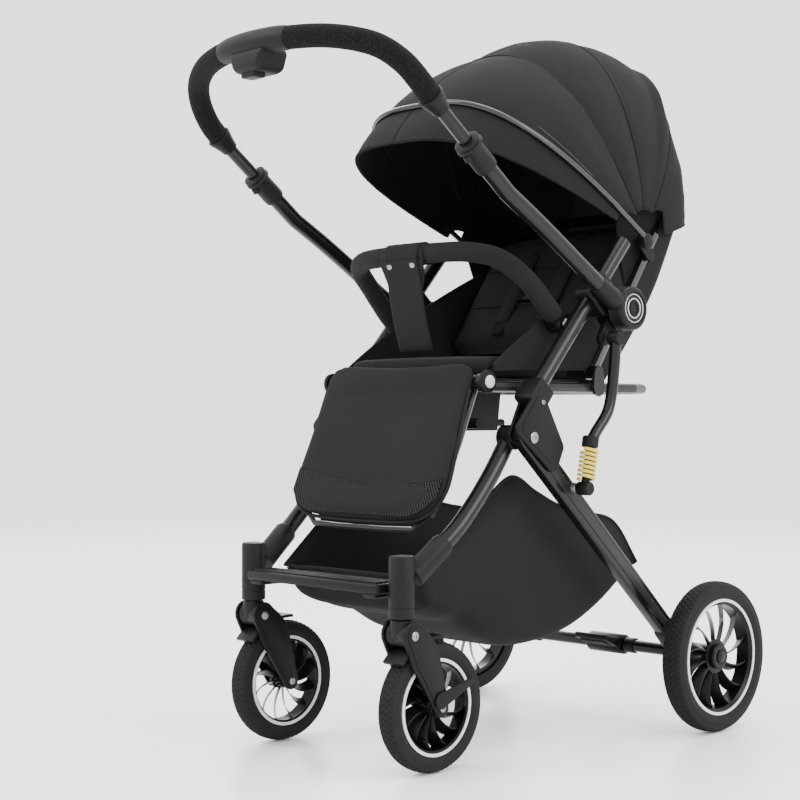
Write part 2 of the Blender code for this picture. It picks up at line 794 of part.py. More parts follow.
def bumper():
    x = BUMPER_X
    half = [(x, *BUMPER_PIVOT), (x, -0.030, 0.648), (0.163, -0.068, 0.684), (0.147, -0.108, 0.712)]
    half += [(0.110, -0.134, 0.7225), (0.050, -0.146, 0.7245)]
    run = half + [(-a, b, c) for a, b, c in reversed(half)]
    piece = as_mesh(tube(smooth_path(run, 1), BUMPER_RADIUS, sides_level=3))
    for side, _ in SIDES:
        join(piece, pin(*span(side, 0.1540, 0.1816), BUMPER_PIVOT, 0.0150))
        cut(piece, pin(*span(side, 0.14, 0.1680), BUMPER_PIVOT, 0.0064))
    finish(piece, "bumper_bar", "bumper_bar", FOAM)
    for side, name in SIDES:
        button = pin(*span(side, 0.1505, 0.1640), BUMPER_PIVOT, 0.0060)
        finish(button, f"bumper_button_{name}", f"bumper_button_{name}", GREY_PLASTIC)


# ---------------------------------------------------------------- back and canopy


def back_place(along, front):
    """A (y, z) place on the reclining back: up along it, and out in front of its tubes."""
    return on_line(BACK_PIVOT, BACK_TILT, along, -front)


def back():
    x = SEAT_RAIL_X
    run = [(x, 0.0), (x, 0.10), (x, 0.20), (x, 0.270), (x - 0.014, 0.300), (x - 0.052, BACK_LENGTH)]
    half = [(a, *back_place(b, 0.0)) for a, b in run]
    path = half + [(-a, b, c) for a, b, c in reversed(half)]
    piece = as_mesh(tube(smooth_path(path, 1), 0.008))
    for side, _ in SIDES:
        join(piece, pin(*span(side, 0.1490, 0.1655), BACK_PIVOT, 0.0105, 14))
        cut(piece, pin(*span(side, 0.14, 0.18), BACK_PIVOT, 0.004 + PIN_CLEARANCE, 16))
    finish(piece, "back_frame", "back", GUNMETAL)
    pad = plate(
        rounded(slab(BACK_PIVOT, BACK_TILT, 0.036, 0.268, -0.032, 0.012), 0.008, 3),
        -0.1465,
        0.1465,
    )
    finish(pad, "back_cushion", "back", SEAT_FABRIC)
    chest = slab(BACK_PIVOT, BACK_TILT, 0.120, 0.140, -0.039, -0.0330)
    harness = plate(rounded(chest, 0.002, 2), -0.040, 0.040)
    for side, name in SIDES:
        strap = slab(BACK_PIVOT, BACK_TILT, 0.070, 0.230, -0.040, -0.0325)
        join(harness, plate(rounded(strap, 0.002, 2), *span(side, 0.024, 0.062)))
    finish(harness, "harness", "back", MESH_PAD)
    for side, name in SIDES:
        foot = back_place(0.228, 0.0)
        mount = plate(capsule(foot, CANOPY_PIVOT, 0.010, 0.011), *span(side, 0.1656, 0.1700))
        join(mount, pin(*span(side, 0.1690, 0.1790), CANOPY_PIVOT, 0.0032, 12))
        finish(mount, f"canopy_mount_{name}", "back", BLACK_PLASTIC)


def crown(theta, step):
    """The canopy's reach from its pivot at an angle, on the middle of the stroller."""
    degrees = math.degrees(theta)
    radius = CANOPY_RADIUS + step
    if degrees > 120.0:
        radius += 0.042 * ((degrees - 120.0) / 30.0) ** 1.3
    if degrees < 72.0:
        radius = min(radius, 0.1642 / math.cos(theta - math.radians(7.55)))
    return radius


def fullness(theta):
    """How square the canopy's cross section is: rounder over the top, boxy in front and behind."""
    degrees = math.degrees(theta)
    if degrees > 120.0:
        return 2.35 + 0.9 * min(1.0, (degrees - 120.0) / 30.0)
    if degrees < 72.0:
        return 2.35 + 2.2 * min(1.0, (72.0 - degrees) / 25.0)
    return 2.35


def canopy_point(theta, share, half_width, step):
    """A point on the canopy: share runs from -1 to 1, from one lower edge over the top."""
    rise = min(1.0, (1.0 - abs(share)) / 0.94)
    tilt = math.pi / 2 * rise
    power = 2.0 / fullness(theta)
    x = half_width * math.cos(tilt) ** power
    reach = crown(theta, step) * math.sin(tilt) ** power
    reach = max(reach, CANOPY_INNER)
    return (
        math.copysign(x, share),
        CANOPY_PIVOT[0] + reach * math.cos(theta),
        CANOPY_PIVOT[1] + reach * math.sin(theta),
    )


def canopy_shell(name, body, angles, number, material):
    """A band of the canopy through the given angles, its cloth turned inwards from the outside."""
    half_width = CANOPY_HALF_WIDTH + number * CANOPY_STEP
    step = number * CANOPY_STEP
    columns = 14
    first = 0.045
    bm = bmesh.new()
    bands = []
    for degrees in angles:
        theta = math.radians(degrees)
        line = []
        for column in range(columns + 1):
            share = (1 - first) * (2 * column / columns - 1)
            line.append(bm.verts.new(canopy_point(theta, share, half_width, step)))
        bands.append(line)
    for low, high in zip(bands, bands[1:]):
        for column in range(columns):
            bm.faces.new((low[column], low[column + 1], high[column + 1], high[column]))
    bmesh.ops.recalc_face_normals(bm, faces=bm.faces)
    piece = mesh_object(bm)
    away = piece.data.polygons[columns // 2]
    outward = Vector(away.normal).dot(Vector(away.center) - Vector((0, *CANOPY_PIVOT)))
    solid = piece.modifiers.new("Cloth", "SOLIDIFY")
    solid.thickness = CANOPY_CLOTH
    solid.offset = -1.0 if outward > 0 else 1.0
    finish(piece, name, body, material)


def canopy():
    rear = (94.0, 86.5, 79.0, 72.0, 58.0, 44.0, 30.0, 16.0)
    middle = (120.0, 113.5, 107.0, 100.75, 94.5)
    front = (161.0, 154.0, 147.0, 140.0, 133.0, 126.5, 120.5)
    canopy_shell("canopy_rear", "back", rear, 0, CANOPY_FABRIC)
    canopy_shell("canopy_middle", "canopy_middle", middle, 1, CANOPY_FABRIC)
    canopy_shell("canopy_front", "canopy_front", front, 2, CANOPY_FABRIC)
    theta = math.radians(150.0)
    inset = 0.0076
    half_width = CANOPY_HALF_WIDTH + 2 * CANOPY_STEP - CANOPY_CLOTH - inset
    run = []
    for column in range(15):
        share = 0.93 * (2 * column / 14 - 1)
        x, y, z = canopy_point(theta, share, half_width, 2 * CANOPY_STEP - CANOPY_CLOTH - inset)
        run.append((x, y, z))
    ends = on_line(CANOPY_PIVOT, theta, 0.016)
    run = [(-half_width, *ends)] + run + [(half_width, *ends)]
    piece = as_mesh(tube(run, 0.0052, sides_level=1))
    for side, _ in SIDES:
        low, high = 0.1712, 0.1768
        join(
            piece,
            pin(*span(side, low, high), CANOPY_PIVOT, 0.0105, 12),
            plate(capsule(CANOPY_PIVOT, ends, 0.006, 0.0045), *span(side, low, high)),
        )
        cut(piece, pin(*span(side, 0.16, 0.19), CANOPY_PIVOT, 0.0032 + PIN_CLEARANCE, 12))
    finish(piece, "canopy_bow", "canopy_front", GUNMETAL)


# ---------------------------------------------------------------- handle


def handle_arm(side, name):
    x = side * HANDLE_X
    straight = on_line(HANDLE_FLANGE, math.pi - HANDLE_RISE, -0.100)
    path = [(x, 0.076, 0.649), (x, 0.045, 0.664), (x, 0.000, 0.6905), (x, -0.103, 0.7525)]
    path += [(x, *straight)]
    path = smooth_path(path, 2) + [(x, *HANDLE_FLANGE)]
    piece = as_mesh(tube(path, HANDLE_TUBE_RADIUS))
    back_in = on_line(HANDLE_FLANGE, math.pi - HANDLE_RISE, -0.048)
    lug = on_line(HANDLE_FLANGE, math.pi - HANDLE_RISE, -0.004)
    join(
        piece,
        pin(*span(side, *KNUCKLE_X), HANDLE_PIVOT, KNUCKLE_RADIUS, 20),
        rod((x, *back_in), (x, *HANDLE_FLANGE), 0.0160, 16),
        rod((x, *lug), (x, *on_line(HANDLE_FLANGE, math.pi - HANDLE_RISE, 0.0035)), 0.0195, 16),
    )
    depth = on_line(HANDLE_FLANGE, math.pi - HANDLE_RISE, -HANDLE_BORE_DEPTH)
    beyond = on_line(HANDLE_FLANGE, math.pi - HANDLE_RISE, 0.02)
    cut(
        piece,
        rod((x, *depth), (x, *beyond), HANDLE_INNER_RADIUS + GAP, 16),
        pin(*span(side, 0.200, HANDLE_X + 0.0110 + GAP), HANDLE_PIVOT, 0.008 + PIN_CLEARANCE),
    )
    finish(piece, f"handle_arm_{name}", "handle", GUNMETAL)


def loop_path():
    """The handle's upper loop from collar to collar."""
    collar = on_line(HANDLE_FLANGE, math.pi - HANDLE_RISE, COLLAR_PLACE)
    half = [(HANDLE_X, *collar), (HANDLE_X - 0.0005, -0.345, 0.9235), (0.214, -0.370, 0.9500)]
    half += [(0.187, -0.3945, 0.9725), (0.135, -0.420, 0.9870), (0.070, -0.4375, 0.9930)]
    return smooth_path(half + [(0, -0.4445, 0.9945)] + [(-a, b, c) for a, b, c in reversed(half)], 1)


def handle_top():
    for side, name in SIDES:
        x = side * HANDLE_X
        low = on_line(HANDLE_FLANGE, math.pi - HANDLE_RISE, -HANDLE_OVERLAP)
        high = on_line(HANDLE_FLANGE, math.pi - HANDLE_RISE, COLLAR_PLACE + 0.006)
        leg = rod((x, *low), (x, *high), HANDLE_INNER_RADIUS, 16)
        finish(leg, f"handle_leg_{name}", "handle_top", GUNMETAL)
    loop = as_mesh(tube(loop_path(), FOAM_RADIUS))
    for side, _ in SIDES:
        x = side * HANDLE_X
        start = on_line(HANDLE_FLANGE, math.pi - HANDLE_RISE, COLLAR_PLACE - 0.014)
        stop = on_line(HANDLE_FLANGE, math.pi - HANDLE_RISE, COLLAR_PLACE + 0.012)
        far = on_line(HANDLE_FLANGE, math.pi - HANDLE_RISE, COLLAR_PLACE + 0.0064)
        near = on_line(HANDLE_FLANGE, math.pi - HANDLE_RISE, COLLAR_PLACE - 0.03)
        join(loop, rod((x, *start), (x, *stop), 0.0125, 16, 0.0185))
        cut(loop, rod((x, *near), (x, *far), HANDLE_INNER_RADIUS + GAP, 16))
    finish(loop, "handle_foam", "handle_top", FOAM)


def handle_grip():
    """The hard shell around the foam at the middle, with the release button's pocket."""
    middle = [point for point in loop_path() if abs(point[0]) < 0.080]
    shell = polyline(middle)
    shell.data.bevel_depth = FOAM_RADIUS + 0.0008
    shell.data.bevel_resolution = 2
    shell.data.use_fill_caps = False
    thick = shell.modifiers.new("Wall", "SOLIDIFY")
    thick.thickness = 0.0040
    thick.offset = 1.0
    grip = as_mesh(shell)
    pocket_low = (-0.0158, -0.4540, 0.930)
    pocket_high = (0.0158, -0.4340, 0.9710)
    join(grip, box((-0.023, -0.461, 0.952), (0.023, -0.427, 0.9762)))
    cut(grip, box(pocket_low, pocket_high))
    finish(grip, "handle_grip", "handle_top", BLACK_PLASTIC)
    button = box((-0.0150, -0.4532, 0.9470), (0.0150, -0.4348, 0.9670), 0.0015)
    finish(button, "handle_button", "handle_button", GREY_PLASTIC)


# ---------------------------------------------------------------- build

clear_scene()
PARTS = new_collection("baby_stroller")
CUTTERS = new_collection("cutters")
STROLLER = bpy.data.objects.new("stroller", None)
STROLLER.location = (0.0, ORIGIN_Y, 0.0)
PARTS.objects.link(STROLLER)

GUNMETAL = new_material("gunmetal_tube", (0.035, 0.035, 0.04), 0.25, 0.9)
GREY_METAL = new_material("grey_metal", (0.30, 0.30, 0.31), 0.35, 0.9)
BLACK_PLASTIC = new_material("black_plastic", (0.02, 0.02, 0.022), 0.45, 0.0)
GREY_PLASTIC = new_material("grey_plastic", (0.25, 0.25, 0.26), 0.45, 0.0)
RIM_PLASTIC = new_material("rim_plastic", (0.03, 0.03, 0.033), 0.4, 0.0)
RUBBER = new_material("tyre_rubber", (0.02, 0.02, 0.02), 0.8, 0.0)
FOAM = new_material("grip_foam", (0.03, 0.03, 0.03), 0.85, 0.0)
SEAT_FABRIC = new_material("seat_fabric", (0.03, 0.03, 0.035), 0.9, 0.0)
MESH_PAD = new_material("mesh_pad", (0.05, 0.05, 0.055), 0.9, 0.0)
CANOPY_FABRIC = new_material("canopy_fabric", (0.03, 0.03, 0.035), 0.85, 0.0)
BASKET_MESH = new_material("basket_fabric", (0.02, 0.02, 0.02), 0.9, 0.0)
SPRING_YELLOW = new_material("spring_coat", (0.75, 0.70, 0.40), 0.4, 0.2)

PULL_PLACE = (-0.105, 0.474)
SOCKET_END = (0.1595, -0.2880, 0.2755)

BODIES = {
    "frame": new_pivot("frame_origin", 0, 0, 0),
    "rear_legs": new_pivot("rear_legs_pivot", 0, *LEG_PIVOT),
    "front_legs": new_pivot("front_legs_pivot", 0, *LEG_PIVOT),
    "brake_pedal": new_pivot("brake_pivot", 0, *REAR_AXLE),
    "footrest": new_pivot("footrest_pivot", 0, *FOOTREST_PIVOT),
    "bumper_bar": new_pivot("bumper_pivot", 0, *BUMPER_PIVOT),
    "back": new_pivot("back_pivot", 0, *BACK_PIVOT),
    "canopy_middle": new_pivot("canopy_middle_pivot", 0, *CANOPY_PIVOT),
    "canopy_front": new_pivot("canopy_front_pivot", 0, *CANOPY_PIVOT),
    "handle": new_pivot("handle_pivot", 0, *HANDLE_PIVOT),
    "handle_top": new_pivot("handle_slide", 0, *HANDLE_FLANGE),
    "handle_button": new_pivot("handle_button_slide", 0, -0.444, 0.957),
    "pull_handle": new_pivot("pull_handle_slide", 0, *PULL_PLACE),
}
for SIDE, SIDE_NAME in SIDES:
    REAR_X = SIDE * REAR_WHEEL_X
    FRONT_X = SIDE * CASTER_X
    BODIES[f"rear_wheel_{SIDE_NAME}"] = new_pivot(f"rear_hub_{SIDE_NAME}", REAR_X, *REAR_AXLE)
    BODIES[f"front_wheel_{SIDE_NAME}"] = new_pivot(f"front_hub_{SIDE_NAME}", FRONT_X, *FRONT_AXLE)
    BODIES[f"caster_{SIDE_NAME}"] = new_pivot(f"swivel_{SIDE_NAME}", FRONT_X, SWIVEL_Y, 0.2)
    BODIES[f"fork_{SIDE_NAME}"] = new_pivot(f"fork_pivot_{SIDE_NAME}", FRONT_X, *FORK_PIVOT)
    BODIES[f"link_{SIDE_NAME}"] = new_pivot(f"link_pivot_{SIDE_NAME}", SIDE * LINK_X, *LINK_TOP)
    BODIES[f"bumper_button_{SIDE_NAME}"] = new_pivot(
        f"bumper_button_slide_{SIDE_NAME}", SIDE * BUMPER_X, *BUMPER_PIVOT
    )

for SIDE, SIDE_NAME in SIDES:
    for MAKE in (
        main_tube,
        cross_bracket,
        hub_mount,
        suspension_link,
        rear_leg,
        rear_wheel,
        front_leg,
        caster_housing,
        caster_head,
        fork,
        front_wheel,
        handle_arm,
    ):
        MAKE(SIDE, SIDE_NAME)
for MAKE in (
    seat_rail,
    seat,
    crotch_strap,
    pull_handle,
    rear_axle,
    brake_pedal,
    basket,
    foot_tray,
    footrest,
    bumper,
    back,
    canopy,
    handle_top,
    handle_grip,
):
    MAKE()
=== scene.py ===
import math

import bmesh
import bpy
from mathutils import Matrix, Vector, noise


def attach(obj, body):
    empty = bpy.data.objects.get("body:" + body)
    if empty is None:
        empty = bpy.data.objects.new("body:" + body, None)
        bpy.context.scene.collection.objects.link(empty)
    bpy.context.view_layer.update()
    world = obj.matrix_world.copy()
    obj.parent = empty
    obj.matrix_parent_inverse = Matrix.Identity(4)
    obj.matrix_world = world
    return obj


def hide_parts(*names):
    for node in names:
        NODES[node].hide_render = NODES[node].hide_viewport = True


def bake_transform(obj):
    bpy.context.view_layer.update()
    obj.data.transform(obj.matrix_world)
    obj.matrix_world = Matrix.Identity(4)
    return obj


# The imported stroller: metres, +Z up, the child faces -Y, +X is the stroller's left.
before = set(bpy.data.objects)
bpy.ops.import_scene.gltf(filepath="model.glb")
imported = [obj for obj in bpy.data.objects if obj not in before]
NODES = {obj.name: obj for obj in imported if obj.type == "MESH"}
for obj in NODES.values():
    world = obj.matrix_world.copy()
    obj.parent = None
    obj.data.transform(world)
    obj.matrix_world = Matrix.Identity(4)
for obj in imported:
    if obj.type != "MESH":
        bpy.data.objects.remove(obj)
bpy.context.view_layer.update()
ORIGIN_Y = 0.04555
SIDES = ((1, "left"), (-1, "right"))

REAR_AXLE = (0.259, 0.115)
FRONT_AXLE = (-0.259, 0.0895)
LEG_PIVOT = (-0.112, 0.455)
MAIN_TUBE_LOW = (-0.094, 0.512)
MAIN_TUBE_TILT = math.radians(48.2)
HANDLE_PIVOT = (0.090, 0.645)
HANDLE_FLANGE = (-0.257, 0.854)
HANDLE_ANGLE = math.pi - math.radians(37.0)
HANDLE_X = 0.225
LINK_X = 0.230
LINK_TOP = (0.056, 0.600)
LINK_FOOT = (-0.017, 0.381)
FOOTREST_PIVOT = (-0.151, 0.534)
FOOTREST_HANG = math.radians(246.7)
BACK_PIVOT = (0.090, 0.550)
BACK_TILT = math.radians(55.0)
CANOPY_PIVOT = (0.200, 0.757)
BUMPER_PIVOT = (0.000, 0.622)
CASTER_X = 0.157
REAR_WHEEL_X = 0.259
MAIN_TUBE_X = 0.195
TUBE_RADIUS = 0.0125
BUMPER_X = 0.1685
PEDAL_ANGLE = math.radians(162.0)
CANOPY_RADIUS = 0.330
SHELL_CORNER = 0.020
FORK_PIVOT = (-0.312, 0.192)
SWIVEL_Y = -0.314


def at(x, y, z):
    """A point in the row frame, from a side-view place measured from the middle of the wheelbase."""
    return Vector((x, y + ORIGIN_Y, z))


def along(place, angle, distance, offset=0.0):
    """The side-view place at a distance along a direction, and offset to its right."""
    y = place[0] + math.cos(angle) * distance + math.sin(angle) * offset
    z = place[1] + math.sin(angle) * distance - math.cos(angle) * offset
    return y, z


# ---------------------------------------------------------------- camera, floor and light


def studio():
    camera = bpy.data.objects.new("camera", bpy.data.cameras.new("camera"))
    bpy.context.scene.collection.objects.link(camera)
    camera.location = (1.737, -1.810, 0.495)
    look = Vector((-0.7168, 0.6970, 0.0201))
    camera.rotation_mode = "QUATERNION"
    camera.rotation_quaternion = look.to_track_quat("-Z", "Y")
    camera.data.lens = 73.73
    camera.data.sensor_width = 36.0
    camera.data.shift_x = 0.0014
    camera.data.shift_y = -0.0296
    camera.data.clip_start = 0.05
    camera.data.clip_end = 200.0
    bpy.context.scene.camera = camera

    bm = bmesh.new()
    bmesh.ops.create_circle(bm, cap_ends=True, segments=96, radius=60.0)
    mesh = bpy.data.meshes.new("floor")
    bm.to_mesh(mesh)
    bm.free()
    floor = bpy.data.objects.new("floor", mesh)
    floor.location = (0, 0, -0.0004)
    bpy.context.scene.collection.objects.link(floor)
    finish = Finish("pale_floor", (0.93, 0.93, 0.935), 0.30)
    finish.shader.inputs["Specular IOR Level"].default_value = 0.35
    floor.data.materials.append(finish.material)

    world = bpy.data.worlds.new("studio")
    world.use_nodes = True
    backdrop = world.node_tree.nodes["Background"]
    backdrop.inputs["Color"].default_value = (1.0, 1.0, 1.0, 1.0)
    backdrop.inputs["Strength"].default_value = 2.3
    bpy.context.scene.world = world
    for name, place, aim, size, power, shade in (("key", (-1.6, -3.2, 3.4), (0, 0, 0.5), 2.6, 150,
        (1.0, 0.99, 0.97)), ("side", (3.6, 0.6, 2.4), (0, 0, 0.6), 2.2, 120, (0.97, 0.98, 1.0)),
        ("top", (0.2, 0.8, 4.2), (0, 0, 0.6), 2.4, 110, (1.0, 1.0, 1.0)), ("rim",
        (-2.8, 2.6, 2.2), (0, 0, 0.6), 1.6, 70, (1.0, 1.0, 1.0))):
        lamp = bpy.data.lights.new(name, "AREA")
        lamp.size = size
        lamp.energy = power
        lamp.color = shade
        obj = bpy.data.objects.new(name, lamp)
        obj.location = place
        obj.rotation_mode = "QUATERNION"
        obj.rotation_quaternion = (Vector(aim) - Vector(place)).to_track_quat("-Z", "Y")
        bpy.context.scene.collection.objects.link(obj)


# ---------------------------------------------------------------- finishes


class Value:
    """A socket that carries a number, so that shader maths reads as arithmetic."""

    def __init__(self, finish, socket):
        self.finish = finish
        self.socket = socket

    def sum_of(self, operation, first, second=None):
        values = {0: first} if second is None else {0: first, 1: second}
        return self.finish.node("ShaderNodeMath", {"operation": operation}, values)

    def __add__(self, other):
        return self.sum_of("ADD", self, other)

    def __radd__(self, other):
        return self.sum_of("ADD", other, self)

    def __sub__(self, other):
        return self.sum_of("SUBTRACT", self, other)

    def __mul__(self, other):
        return self.sum_of("MULTIPLY", self, other)

    def __gt__(self, other):
        return self.sum_of("GREATER_THAN", self, other)

    def sine(self):
        return self.sum_of("SINE", self)



class Finish:
    """One material while it is being built."""

    def __init__(self, name, colour=(0.8, 0.8, 0.8), roughness=0.5, metallic=0.0):
        self.material = bpy.data.materials.new(name)
        self.material.use_nodes = True
        self.tree = self.material.node_tree
        self.shader = self.tree.nodes["Principled BSDF"]
        self.set(roughness=roughness, metallic=metallic)
        self.shader.inputs["Base Color"].default_value = (*colour, 1.0)

    def set(self, **numbers):
        for name, number in numbers.items():
            self.shader.inputs[name.replace("_", " ").title()].default_value = number

    def shine(self, level):
        self.shader.inputs["Specular IOR Level"].default_value = level

    def node(self, kind, settings=None, inputs=None, output=0):
        node = self.tree.nodes.new(kind)
        for name, setting in (settings or {}).items():
            setattr(node, name, setting)
        for name, value in (inputs or {}).items():
            socket = node.inputs[name]
            if isinstance(value, Value):
                self.tree.links.new(value.socket, socket)
            else:
                socket.default_value = value
        return Value(self, node.outputs[output])

    def place(self):
        return self.node("ShaderNodeTexCoord", output="Object")

    def axes(self, place):
        split = self.node("ShaderNodeSeparateXYZ", {}, {"Vector": place}, "X")
        outputs = split.socket.node.outputs
        return split, Value(self, outputs["Y"]), Value(self, outputs["Z"])

    def cloud(self, place, scale, detail=2.0, roughness=0.5):
        values = {"Vector": place, "Scale": scale, "Detail": detail, "Roughness": roughness}
        return self.node("ShaderNodeTexNoise", {}, values, "Fac")

    def blend(self, share, first, second):
        values = {"Factor": share, 6: (*first, 1.0), 7: (*second, 1.0)}
        return self.node("ShaderNodeMix", {"data_type": "RGBA"}, values, 2)

    def link(self, value, name):
        self.tree.links.new(value.socket, self.shader.inputs[name])
        return self

    def relief(self, height, strength, distance):
        values = {"Height": height, "Strength": strength, "Distance": distance}
        return self.link(self.node("ShaderNodeBump", {}, values, "Normal"), "Normal")


def tube_finish(name, colour, roughness, metallic, coat=0.0):
    """Drawn and lacquered tube: near-smooth, with faint handling marks that vary its gloss."""
    finish = Finish(name, colour, roughness, metallic)
    place = finish.place()
    broad = finish.cloud(place, 9.0, 3.0)
    fine = finish.cloud(place, 420.0, 2.0)
    light = tuple(min(1.0, value * 1.45 + 0.001) for value in colour)
    finish.link(finish.blend(broad, colour, light), "Base Color")
    finish.link(roughness * 0.75 + broad * (roughness * 0.4) + fine * 0.04, "Roughness")
    finish.relief(fine, 0.03, 0.0004)
    finish.set(coat_weight=coat, coat_roughness=0.12)
    finish.shine(0.26)
    return finish.material


def plastic_finish(name, colour, roughness, grain=0.10):
    """Moulded plastic with a fine spark-eroded grain and slightly polished high spots."""
    finish = Finish(name, colour, roughness)
    place = finish.place()
    pits = finish.cloud(place, 1500.0, 2.0, 0.6)
    haze = finish.cloud(place, 22.0, 3.0)
    light = tuple(min(1.0, value * 1.35 + 0.0006) for value in colour)
    finish.link(finish.blend(haze, colour, light), "Base Color")
    finish.link(roughness * 0.85 + haze * 0.10 + pits * 0.08, "Roughness")
    finish.relief(pits, grain, 0.0006)
    finish.shine(0.13)
    return finish.material


def foam_finish():
    """Closed-cell foam sleeve: dark with fine lighter speckles."""
    finish = Finish("grip_foam", (0.02, 0.02, 0.021), 0.85)
    place = finish.place()
    cells = finish.node("ShaderNodeTexVoronoi", {}, {"Vector": place, "Scale": 620.0}, "Distance")
    speckle = finish.cloud(place, 900.0, 2.0, 0.7)
    bright = (speckle > 0.58) * 0.85
    finish.link(finish.blend(bright, (0.0022, 0.0022, 0.0024), (0.020, 0.020, 0.021)),
        "Base Color")
    finish.relief(cells + speckle * 0.6, 0.35, 0.0008)
    finish.shine(0.10)
    return finish.material


def weave_finish(name, dark, light, pitch=0.0011, strength=0.35, sheen=0.012, slub=0.5):
    """Plain-woven polyester: crossing yarns, a few thicker ones, and a soft sheen."""
    finish = Finish(name, dark, 0.86)
    place = finish.place()
    x, y, z = finish.axes(place)
    step = 2 * math.pi / pitch
    wander = finish.cloud(place, 130.0, 2.0) * 0.9
    warp = (x * step + wander).sine()
    weft = ((y + z) * (step * 0.71) + wander).sine()
    rise = (y - z) * (step * 0.71)
    third = (rise + wander).sine()
    threads = warp * weft + third * 0.35
    cloud = finish.cloud(place, 260.0, 3.0, 0.65)
    broad = finish.cloud(place, 7.0, 3.0)
    tone = threads * 0.22 + cloud * slub + broad * 0.35
    finish.link(finish.blend(tone, dark, light), "Base Color")
    finish.link(0.78 + cloud * 0.16, "Roughness")
    finish.relief(threads * 0.5 + cloud * 0.8, strength, 0.0006)
    finish.set(sheen_weight=sheen, sheen_roughness=0.45)
    finish.shine(0.10)
    return finish.material


def knit_finish(name, dark, light, pitch=0.0052):
    """Spacer mesh: rows of small round holes in a staggered grid; the holes get painted shade,
    near-black, and the yarn between them keeps its lighter colour.
    """
    finish = Finish(name, dark, 0.8)
    place = finish.place()
    x, y, z = finish.axes(place)
    step = 2 * math.pi / pitch
    down = (z - y * 0.43) * (step * 0.92)
    first = (x * step).sine() * down.sine()
    second = (x * step + down).sine()
    holes = first * 0.7 + second * 0.45
    # painted shade: wherever the pattern dips into a hole, the colour falls to the near-black that
    # stands for the shade inside it
    yarn_against_hole_shade = holes > 0.15
    cloud = finish.cloud(place, 500.0, 2.0)
    finish.link(finish.blend(yarn_against_hole_shade * (0.5 + cloud * 0.5), dark, light), "Base Color")
    finish.link(0.7 + cloud * 0.2, "Roughness")
    finish.relief(holes + cloud * 0.3, 0.8, 0.0016)
    finish.set(sheen_weight=0.01, sheen_roughness=0.5)
    finish.shine(0.10)
    return finish.material


def tyre_finish():
    finish = Finish("tyre_rubber", (0.018, 0.018, 0.019), 0.72)
    place = finish.place()
    dust = finish.cloud(place, 60.0, 4.0, 0.6)
    pits = finish.cloud(place, 1300.0, 2.0)
    finish.link(finish.blend(dust, (0.0050, 0.0050, 0.0053), (0.0150, 0.0150, 0.0158)),
        "Base Color")
    finish.link(0.62 + dust * 0.25, "Roughness")
    finish.relief(pits, 0.15, 0.0005)
    finish.shine(0.12)
    return finish.material


def coat_finish(name, colour, roughness, level=0.5):
    """A dipped coating with a slight orange peel."""
    finish = Finish(name, colour, roughness)
    place = finish.place()
    peel = finish.cloud(place, 350.0, 2.0)
    broad = finish.cloud(place, 30.0, 2.0)
    shade = tuple(value * 0.82 for value in colour)
    finish.link(finish.blend(broad, shade, colour), "Base Color")
    finish.link(roughness * 0.8 + peel * 0.15, "Roughness")
    finish.relief(peel, 0.12, 0.0006)
    finish.shine(level)
    return finish.material


studio()
TUBE = tube_finish("gunmetal_tube", (0.0035, 0.0035, 0.0038), 0.24, 0.15, 0.03)
BOW = tube_finish("canopy_bow_lacquer", (0.030, 0.030, 0.032), 0.14, 0.85, 0.3)
GREY_TUBE = tube_finish("grey_tube", (0.012, 0.012, 0.0125), 0.36, 0.35)
STEEL = tube_finish("plated_steel", (0.20, 0.20, 0.21), 0.28, 0.9)
PLASTIC = plastic_finish("black_plastic", (0.0028, 0.0028, 0.0031), 0.42)
PLASTIC_SATIN = plastic_finish("satin_plastic", (0.0050, 0.0050, 0.0055), 0.48)
RIM = plastic_finish("rim_plastic", (0.0028, 0.0028, 0.0031), 0.24, 0.03)
WHITE = plastic_finish("white_button", (0.40, 0.40, 0.41), 0.34, 0.03)
LINE = coat_finish("rim_line", (0.62, 0.62, 0.63), 0.30)
SPRING = coat_finish("spring_coat", (0.60, 0.46, 0.07), 0.36)
FOAM = foam_finish()
TYRE = tyre_finish()
CANOPY = weave_finish("canopy_cloth", (0.0040, 0.0040, 0.0043), (0.0165, 0.0165, 0.0178))
SEAT = weave_finish("seat_cloth", (0.0044, 0.0044, 0.0047), (0.0175, 0.0175, 0.0188), 0.0012)
LINING = weave_finish("lining_cloth", (0.0020, 0.0020, 0.0022), (0.0065, 0.0065, 0.0070), 0.0012,
    0.2)
WEBBING = weave_finish("webbing", (0.0020, 0.0020, 0.0022), (0.0085, 0.0085, 0.009), 0.0022, 0.6)
# the knit's near-black colour is painted shade in its holes; the lighter colour is its yarn
KNIT = knit_finish("knit_mesh", (0.0010, 0.0010, 0.0012), (0.030, 0.030, 0.032))
PIPING = coat_finish("light_piping", (0.034, 0.034, 0.035), 0.6, 0.2)
WELT = coat_finish("edge_welt", (0.009, 0.009, 0.0095), 0.7, 0.1)


# ---------------------------------------------------------------- shapes


def piece(bm, name, material, body, stands_for=(), slot=None, angle=40.0):
    """Makes an object of the mesh and hangs it on its body."""
    mesh = bpy.data.meshes.new(name)
    bm.to_mesh(mesh)
    bm.free()
    obj = bpy.data.objects.new(name, mesh)
    bpy.context.scene.collection.objects.link(obj)
    mesh.materials.append(material)
    mesh.shade_smooth()
    if angle:
        mesh.set_sharp_from_angle(angle=math.radians(angle))
    if body:
        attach(obj, body)
    if stands_for:
        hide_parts(*stands_for)
    return obj


def smooth_path(points, steps=6):
    """A smooth run through the given points."""
    points = [Vector(point) for point in points]
    ring = [2 * points[0] - points[1], *points, 2 * points[-1] - points[-2]]
    path = []
    for a, b, c, d in zip(ring, ring[1:], ring[2:], ring[3:]):
        for step in range(steps):
            t = step / steps
            path.append(
                0.5
                * (
                    2 * b
                    + (c - a) * t
                    + (2 * a - 5 * b + 4 * c - d) * t * t
                    + (3 * b - a - 3 * c + d) * t * t * t
                )
            )
    path.append(points[-1])
    return path


